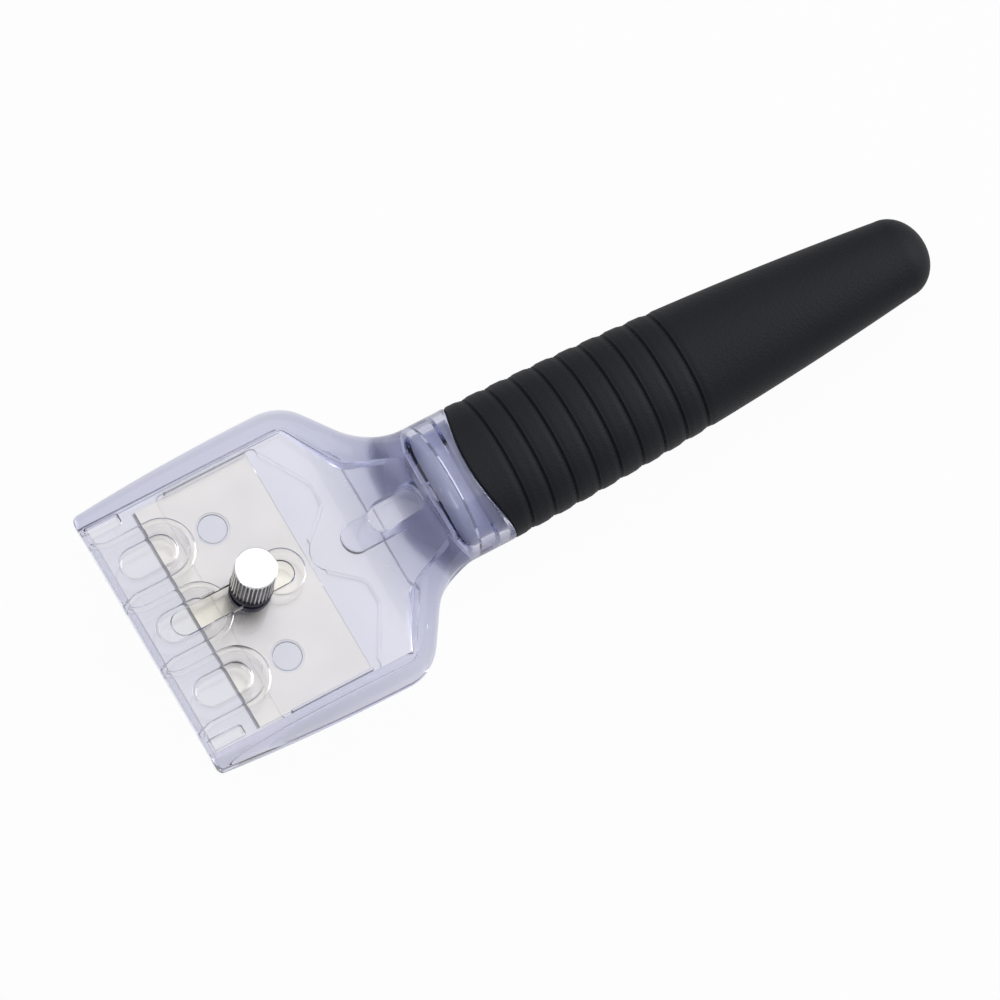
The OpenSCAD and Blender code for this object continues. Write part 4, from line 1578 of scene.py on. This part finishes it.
# %% Lathe
def turned(name, profile, steps=96):
    """A closed turned piece from (radius, height) points round the screw's axis."""
    size = len(profile)
    points = [
        (KNOB_AXIS + r * math.cos(a), r * math.sin(a), z)
        for a in [2 * math.pi * k / steps for k in range(steps)]
        for r, z in profile
    ]
    faces = [
        (k * size + i, k * size + (i + 1) % size,
         (k + 1) % steps * size + (i + 1) % size, (k + 1) % steps * size + i)
        for k in range(steps)
        for i in range(size)
    ]
    piece = new_piece(name, points, faces)
    shape = bmesh.new()
    shape.from_mesh(piece.data)
    bmesh.ops.remove_doubles(shape, verts=shape.verts, dist=1e-7)
    bmesh.ops.dissolve_degenerate(shape, dist=1e-8, edges=shape.edges)
    bmesh.ops.recalc_face_normals(shape, faces=shape.faces)
    shape.to_mesh(piece.data)
    shape.free()
    return piece


print("lathe:", turned.__name__)

# %% [markdown]
# ### Insert and washer
#
# The insert is the dark bush that the screw threads into, and it slides with the carrier.
# The washer lies under the screw's head and spreads its pressure on the plastic. Both turn
# up in the photograph as dark rings. A ring could be a tube with a Bevel modifier, but a
# profile with its edges rounded where the light falls is shorter, and it is exact.

# %% Insert
SHANK_R, SHANK_GAP = 1.5, 0.05
bore_r = SHANK_R + SHANK_GAP

insert = turned(
    "dark_insert",
    [(bore_r, BLADE_TOP + 0.15), (bore_r + 0.15, BLADE_TOP), (INSERT_R - 0.3, BLADE_TOP),
     (INSERT_R, BLADE_TOP + 0.3), (INSERT_R, CARRIER_TOP - 0.12), (INSERT_R - 0.12, CARRIER_TOP),
     (bore_r + 0.25, CARRIER_TOP), (bore_r, CARRIER_TOP - 0.25)],
)
finish_piece(insert, "carriage", "threaded_insert", "dark_steel", DARK_STEEL)

# %% Washer
WASHER_R, WASHER_ROUND, WASHER_BOTTOM, WASHER_TOP = 3.25, 0.15, 2.55, 2.92


def washer_edge(height, start, end):
    return [
        (WASHER_R - WASHER_ROUND + WASHER_ROUND * math.cos(a), height + WASHER_ROUND * math.sin(a))
        for a in np.radians(np.linspace(start, end, 4))
    ]


washer = turned(
    "black_washer",
    [(bore_r, WASHER_BOTTOM)]
    + washer_edge(WASHER_BOTTOM + WASHER_ROUND, -90, 0)
    + washer_edge(WASHER_TOP - WASHER_ROUND, 0, 90)
    + [(bore_r, WASHER_TOP)],
)
finish_piece(washer, "washer", "screw_washer", "black_washer", WASHER_BLACK)

# %% [markdown]
# ### The thumb screw
#
# A plated screw with a tall knurled head and a smooth rim at its top. The knurls could be
# modelled in the lathe's rings, but a ridge has sharp ends of its own. So the lathe makes
# the shank, the rim and a core as thin as the bottoms of the grooves, and the ridges follow.

# %% Screw: head and shank
KNOB_R, KNOB_BOTTOM, KNOB_HEIGHT, KNURL_DEPTH, KNURL_COUNT = 3.15, 2.95, 7.9, 0.2, 32
RIM_R, RIM_HEIGHT = 3.13, 0.3
knob_top = KNOB_BOTTOM + KNOB_HEIGHT
root_r = KNOB_R - KNURL_DEPTH

screw = turned(
    "plated_screw",
    [(0, BLADE_TOP), (SHANK_R - 0.3, BLADE_TOP), (SHANK_R, BLADE_TOP + 0.3), (SHANK_R, KNOB_BOTTOM),
     (root_r - 0.1, KNOB_BOTTOM), (root_r, KNOB_BOTTOM + 0.1), (root_r, knob_top - RIM_HEIGHT - 0.15),
     (RIM_R, knob_top - RIM_HEIGHT), (RIM_R, knob_top - 0.08), (RIM_R - 0.03, knob_top - 0.03),
     (RIM_R - 0.1, knob_top), (0, knob_top)],
)
print("screw from", BLADE_TOP, "to", knob_top)

# %% [markdown]
# ### Knurls with Geometry Nodes
#
# A straight knurl is a row of sharp ridges rolled into the head's side. One ridge repeated
# round a circle is work for Geometry Nodes: the count, the height and the reach of the
# ridges stay open inputs. The tree makes one four-sided bar with pointed ends, sets it on
# each point of a circle so that one of its edges points outwards, and leaves the rest of
# the bar buried in the head. It ends by making the copies real faces, with a material.

# %% Knurl inputs
KNURL_INPUTS = (
    ("Count", "NodeSocketInt", KNURL_COUNT),
    ("Reach", "NodeSocketFloat", KNOB_R * MM),
    ("Bar Radius", "NodeSocketFloat", 0.42 * MM),
    ("Height", "NodeSocketFloat", (KNOB_HEIGHT - RIM_HEIGHT) * MM),
    ("Point", "NodeSocketFloat", 0.25 * MM),
)
knurl_tree = bpy.data.node_groups.new("knurled_ridges", "GeometryNodeTree")
for name, kind, value in KNURL_INPUTS:
    made = knurl_tree.interface.new_socket(name=name, in_out="INPUT", socket_type=kind)
    made.default_value = value
knurl_tree.interface.new_socket(name="Geometry", in_out="OUTPUT", socket_type="NodeSocketGeometry")
print("inputs of", knurl_tree.name + ":", [name for name, kind, value in KNURL_INPUTS])


# %% One ridge
def make_ridge(tree, inputs):
    """A four-sided bar whose two ends run out in blunt points."""
    double_point = math_node(tree, "MULTIPLY", inputs["Point"], 2)
    bar_length = math_node(tree, "SUBTRACT", inputs["Height"], double_point)
    bar = add_node(tree, "GeometryNodeMeshCylinder", Vertices=4)
    tip = add_node(tree, "GeometryNodeMeshCone", Vertices=4)
    lift = add_node(tree, "ShaderNodeCombineXYZ")
    raise_tip = add_node(tree, "GeometryNodeTransform")
    flip = add_node(tree, "GeometryNodeTransform", Rotation=(math.pi, 0, 0))
    ridge = add_node(tree, "GeometryNodeJoinGeometry")
    link(
        tree,
        (inputs["Bar Radius"], bar.inputs["Radius"]),
        (bar_length, bar.inputs["Depth"]),
        (inputs["Bar Radius"], tip.inputs["Radius Bottom"]),
        (math_node(tree, "SUBTRACT", inputs["Bar Radius"], inputs["Point"]), tip.inputs["Radius Top"]),
        (inputs["Point"], tip.inputs["Depth"]),
        (math_node(tree, "MULTIPLY", bar_length, 0.5), lift.inputs["Z"]),
        (tip.outputs["Mesh"], raise_tip.inputs["Geometry"]),
        (lift.outputs[0], raise_tip.inputs["Translation"]),
        (raise_tip.outputs[0], flip.inputs["Geometry"]),
        (bar.outputs["Mesh"], ridge.inputs[0]),
        (raise_tip.outputs[0], ridge.inputs[0]),
        (flip.outputs[0], ridge.inputs[0]),
    )
    return ridge.outputs[0]


knurl_in = add_node(knurl_tree, "NodeGroupInput").outputs
one_ridge = make_ridge(knurl_tree, knurl_in)
print("nodes for one ridge:", len(knurl_tree.nodes))

# %% Ridges round a circle
centre_radius = math_node(knurl_tree, "SUBTRACT", knurl_in["Reach"], knurl_in["Bar Radius"])
ring_of_points = add_node(knurl_tree, "GeometryNodeMeshCircle")
place_ridges = add_node(knurl_tree, "GeometryNodeInstanceOnPoints")
position = add_node(knurl_tree, "GeometryNodeInputPosition")
face_outwards = add_node(knurl_tree, "FunctionNodeAlignRotationToVector")
face_outwards.axis, face_outwards.pivot_axis = "X", "Z"
realize = add_node(knurl_tree, "GeometryNodeRealizeInstances")
plate = add_node(knurl_tree, "GeometryNodeSetMaterial", Material=PLATING)
knurl_out = add_node(knurl_tree, "NodeGroupOutput")
link(
    knurl_tree,
    (knurl_in["Count"], ring_of_points.inputs["Vertices"]),
    (centre_radius, ring_of_points.inputs["Radius"]),
    (ring_of_points.outputs["Mesh"], place_ridges.inputs["Points"]),
    (one_ridge, place_ridges.inputs["Instance"]),
    (position.outputs[0], face_outwards.inputs["Vector"]),
    (face_outwards.outputs[0], place_ridges.inputs["Rotation"]),
    (place_ridges.outputs[0], realize.inputs[0]),
    (realize.outputs[0], plate.inputs["Geometry"]),
    (plate.outputs[0], knurl_out.inputs[0]),
)
print("nodes for all ridges:", len(knurl_tree.nodes))

# %% [markdown]
# ### Knurls on the screw
#
# The tree works on an empty mesh, and its result is put into the screw's own mesh, so that
# the screw stays one piece. Faces that look sideways get a copy of the plating with painted
# shade, which keeps the plating's colour on the crests and is near black in the grooves, and
# the flat top stays bright.

# %% Knurled screw
knurls = bpy.data.objects.new("knurls", bpy.data.meshes.new("knurls"))
scene.collection.objects.link(knurls)
ridges = knurls.modifiers.new("ridges", "NODES")
ridges.node_group = knurl_tree
for item in knurl_tree.interface.items_tree:
    if item.in_out == "INPUT":
        ridges[item.identifier] = item.default_value
plain_mesh(knurls)
knurl_middle = KNOB_BOTTOM + (KNOB_HEIGHT - RIM_HEIGHT) / 2
knurls.data.transform(Matrix.Translation(at(KNOB_AXIS, 0, knurl_middle)))
print("knurls:", len(knurls.data.polygons), "faces")

shape = bmesh.new()
shape.from_mesh(screw.data)
shape.from_mesh(knurls.data)
shape.to_mesh(screw.data)
shape.free()
bpy.data.objects.remove(knurls)


def looks_sideways(face):
    return abs(face.normal.z) < 0.9


finish_piece(
    screw, "screw", "thumb_screw", "plated_screw", PLATING, KNURLED_SIDE, crease=20, second=looks_sideways
)

# %% [markdown]
# ## The handle's core
#
# The core shows only through the collar, as a smoky grey-blue plug with a snap groove painted
# paler, as a painted highlight. Behind the rim it runs on inside the rubber to near the tip of
# the grip. Every section of it is an oval, so it is one row of rings, as wide and as high as
# the grip is there, less the wall.

# %% Shape of the handle
TAIL_HALF, TAIL_RISE, NOSE_LENGTH, GRIP_BOW = 6.2, 4.8, 5.2, 0.92
NOSE_START = TOOL_LENGTH - NOSE_LENGTH


def grip_share(s):
    """How far along the sleeve a place is, from 0 at the collar to 1 at the nose."""
    return (max(s, COLLAR_END) - COLLAR_END) / (NOSE_START - COLLAR_END)


def grip_half(s):
    t = grip_share(s)
    return between(COLLAR_HALF, TAIL_HALF, t) + GRIP_BOW * 4 * t * (1 - t)


def grip_rise(s):
    return between(COLLAR_RISE, TAIL_RISE, grip_share(s) ** 3)


print("half width midway:", round(grip_half((COLLAR_END + NOSE_START) / 2), 2))

# %% Core
core = join_rings(
    "dark_core",
    plug_rings(0)
    + [oval(s, grip_half(s) - GRIP_WALL, grip_rise(s) - GRIP_WALL)
       for s in np.linspace(COLLAR_END, NOSE_START, 24)],
)


def in_snap_groove(face):
    place = face.center.x / MM + TOOL_LENGTH / 2
    return snap_front - SNAP_DEPTH < place < snap_end + SNAP_DEPTH


finish_piece(
    core, "handle_and_head", "handle_core", "dark_core", CORE_PLASTIC, SNAP_PAINTED_HIGHLIGHT, second=in_snap_groove
)

# %% [markdown]
# ## The rubber grip
#
# A soft black sleeve with nine grooves round its front half. The ribs between them are
# slightly crowned, so each catches a soft light along its rear shoulder. Grooves could be
# cut one by one, but a rule for how deep the surface lies at each place costs less and
# gives the rounded edges of moulded rubber at once.

# %% Grooves
GROOVE_COUNT, GROOVE_PITCH, FIRST_GROOVE = 9, 3.81, 2.8
GROOVE_DEPTH, GROOVE_HALF_WIDTH = 0.45, 0.42
RIB_CROWN, CROWN_REACH = 0.14, 0.7
groove_places = [COLLAR_END + FIRST_GROOVE + i * GROOVE_PITCH for i in range(GROOVE_COUNT)]


def groove_cut(s):
    """How far the surface lies below the plain grip there."""
    away = min(abs(s - place) for place in groove_places)
    cut = GROOVE_DEPTH * (1 - ease(away / GROOVE_HALF_WIDTH))
    crown = RIB_CROWN * (1 - ease((away - GROOVE_HALF_WIDTH) / CROWN_REACH))
    return max(cut, crown)


print("grooves from", round(groove_places[0], 2), "to", round(groove_places[-1], 2))

# %% [markdown]
# ### The sleeve as one row of rings
#
# The rings run up the inside from the closed end, over the rounded front edge, and back
# along the outside to the tip. They stand close together at the grooves and far apart
# between the last groove and the nose.

# %% Grip
GROOVE_STATIONS = np.array([0, 0.1, 0.18, 0.26, 0.34, 0.45, 0.6, 0.8, 1.1, 1.4])
INNER_STEPS, PLAIN_STEPS, EDGE_ROUND = 12, 22, 0.35
NOSE_FIRST, NOSE_LAST = math.radians(4), math.radians(86)
grip_start = COLLAR_END + 0.1


def bore_ring(s, place, dip=0.0):
    """The sleeve's bore as wide as it is at s, set at a place along the tool."""
    return oval(place, grip_half(s) - GRIP_WALL + SEAT_GAP, grip_rise(s) - GRIP_WALL + SEAT_GAP, dip)


stations = set(np.round(np.linspace(groove_places[-1] + 2.5, NOSE_START, PLAIN_STEPS), 4))
for place in groove_places:
    for side in (-1, 1):
        stations.update(np.round(place + side * GROOVE_STATIONS, 4))

rings = [bore_ring(NOSE_START, NOSE_START + SEAT_GAP)]
for k in range(INNER_STEPS - 1, 0, -1):
    s = COLLAR_END + (NOSE_START - COLLAR_END) * k / INNER_STEPS
    rings.append(bore_ring(s, s))
rings.append(bore_ring(COLLAR_END, grip_start, RIM_DIP))
for a in np.radians(np.linspace(90, 0, 5)):
    inwards = EDGE_ROUND * (1 - math.cos(a))
    place = grip_start + EDGE_ROUND * (1 - math.sin(a))
    rings.append(oval(place, COLLAR_HALF - inwards, COLLAR_RISE - inwards, RIM_DIP))
for s in sorted(stations):
    rings.append(oval(s, grip_half(s) - groove_cut(s), grip_rise(s) - groove_cut(s)))
for a in np.linspace(NOSE_FIRST, NOSE_LAST, 16):
    place = NOSE_START + NOSE_LENGTH * math.sin(a) / math.sin(NOSE_LAST)
    rings.append(oval(place, TAIL_HALF * math.cos(a), TAIL_RISE * math.cos(a)))
grip = join_rings("rubber_grip", rings)
finish_piece(grip, "handle_and_head", "grip", "black_rubber", RUBBER, crease=50)

# %% Last update of the scene
bpy.context.view_layer.update()
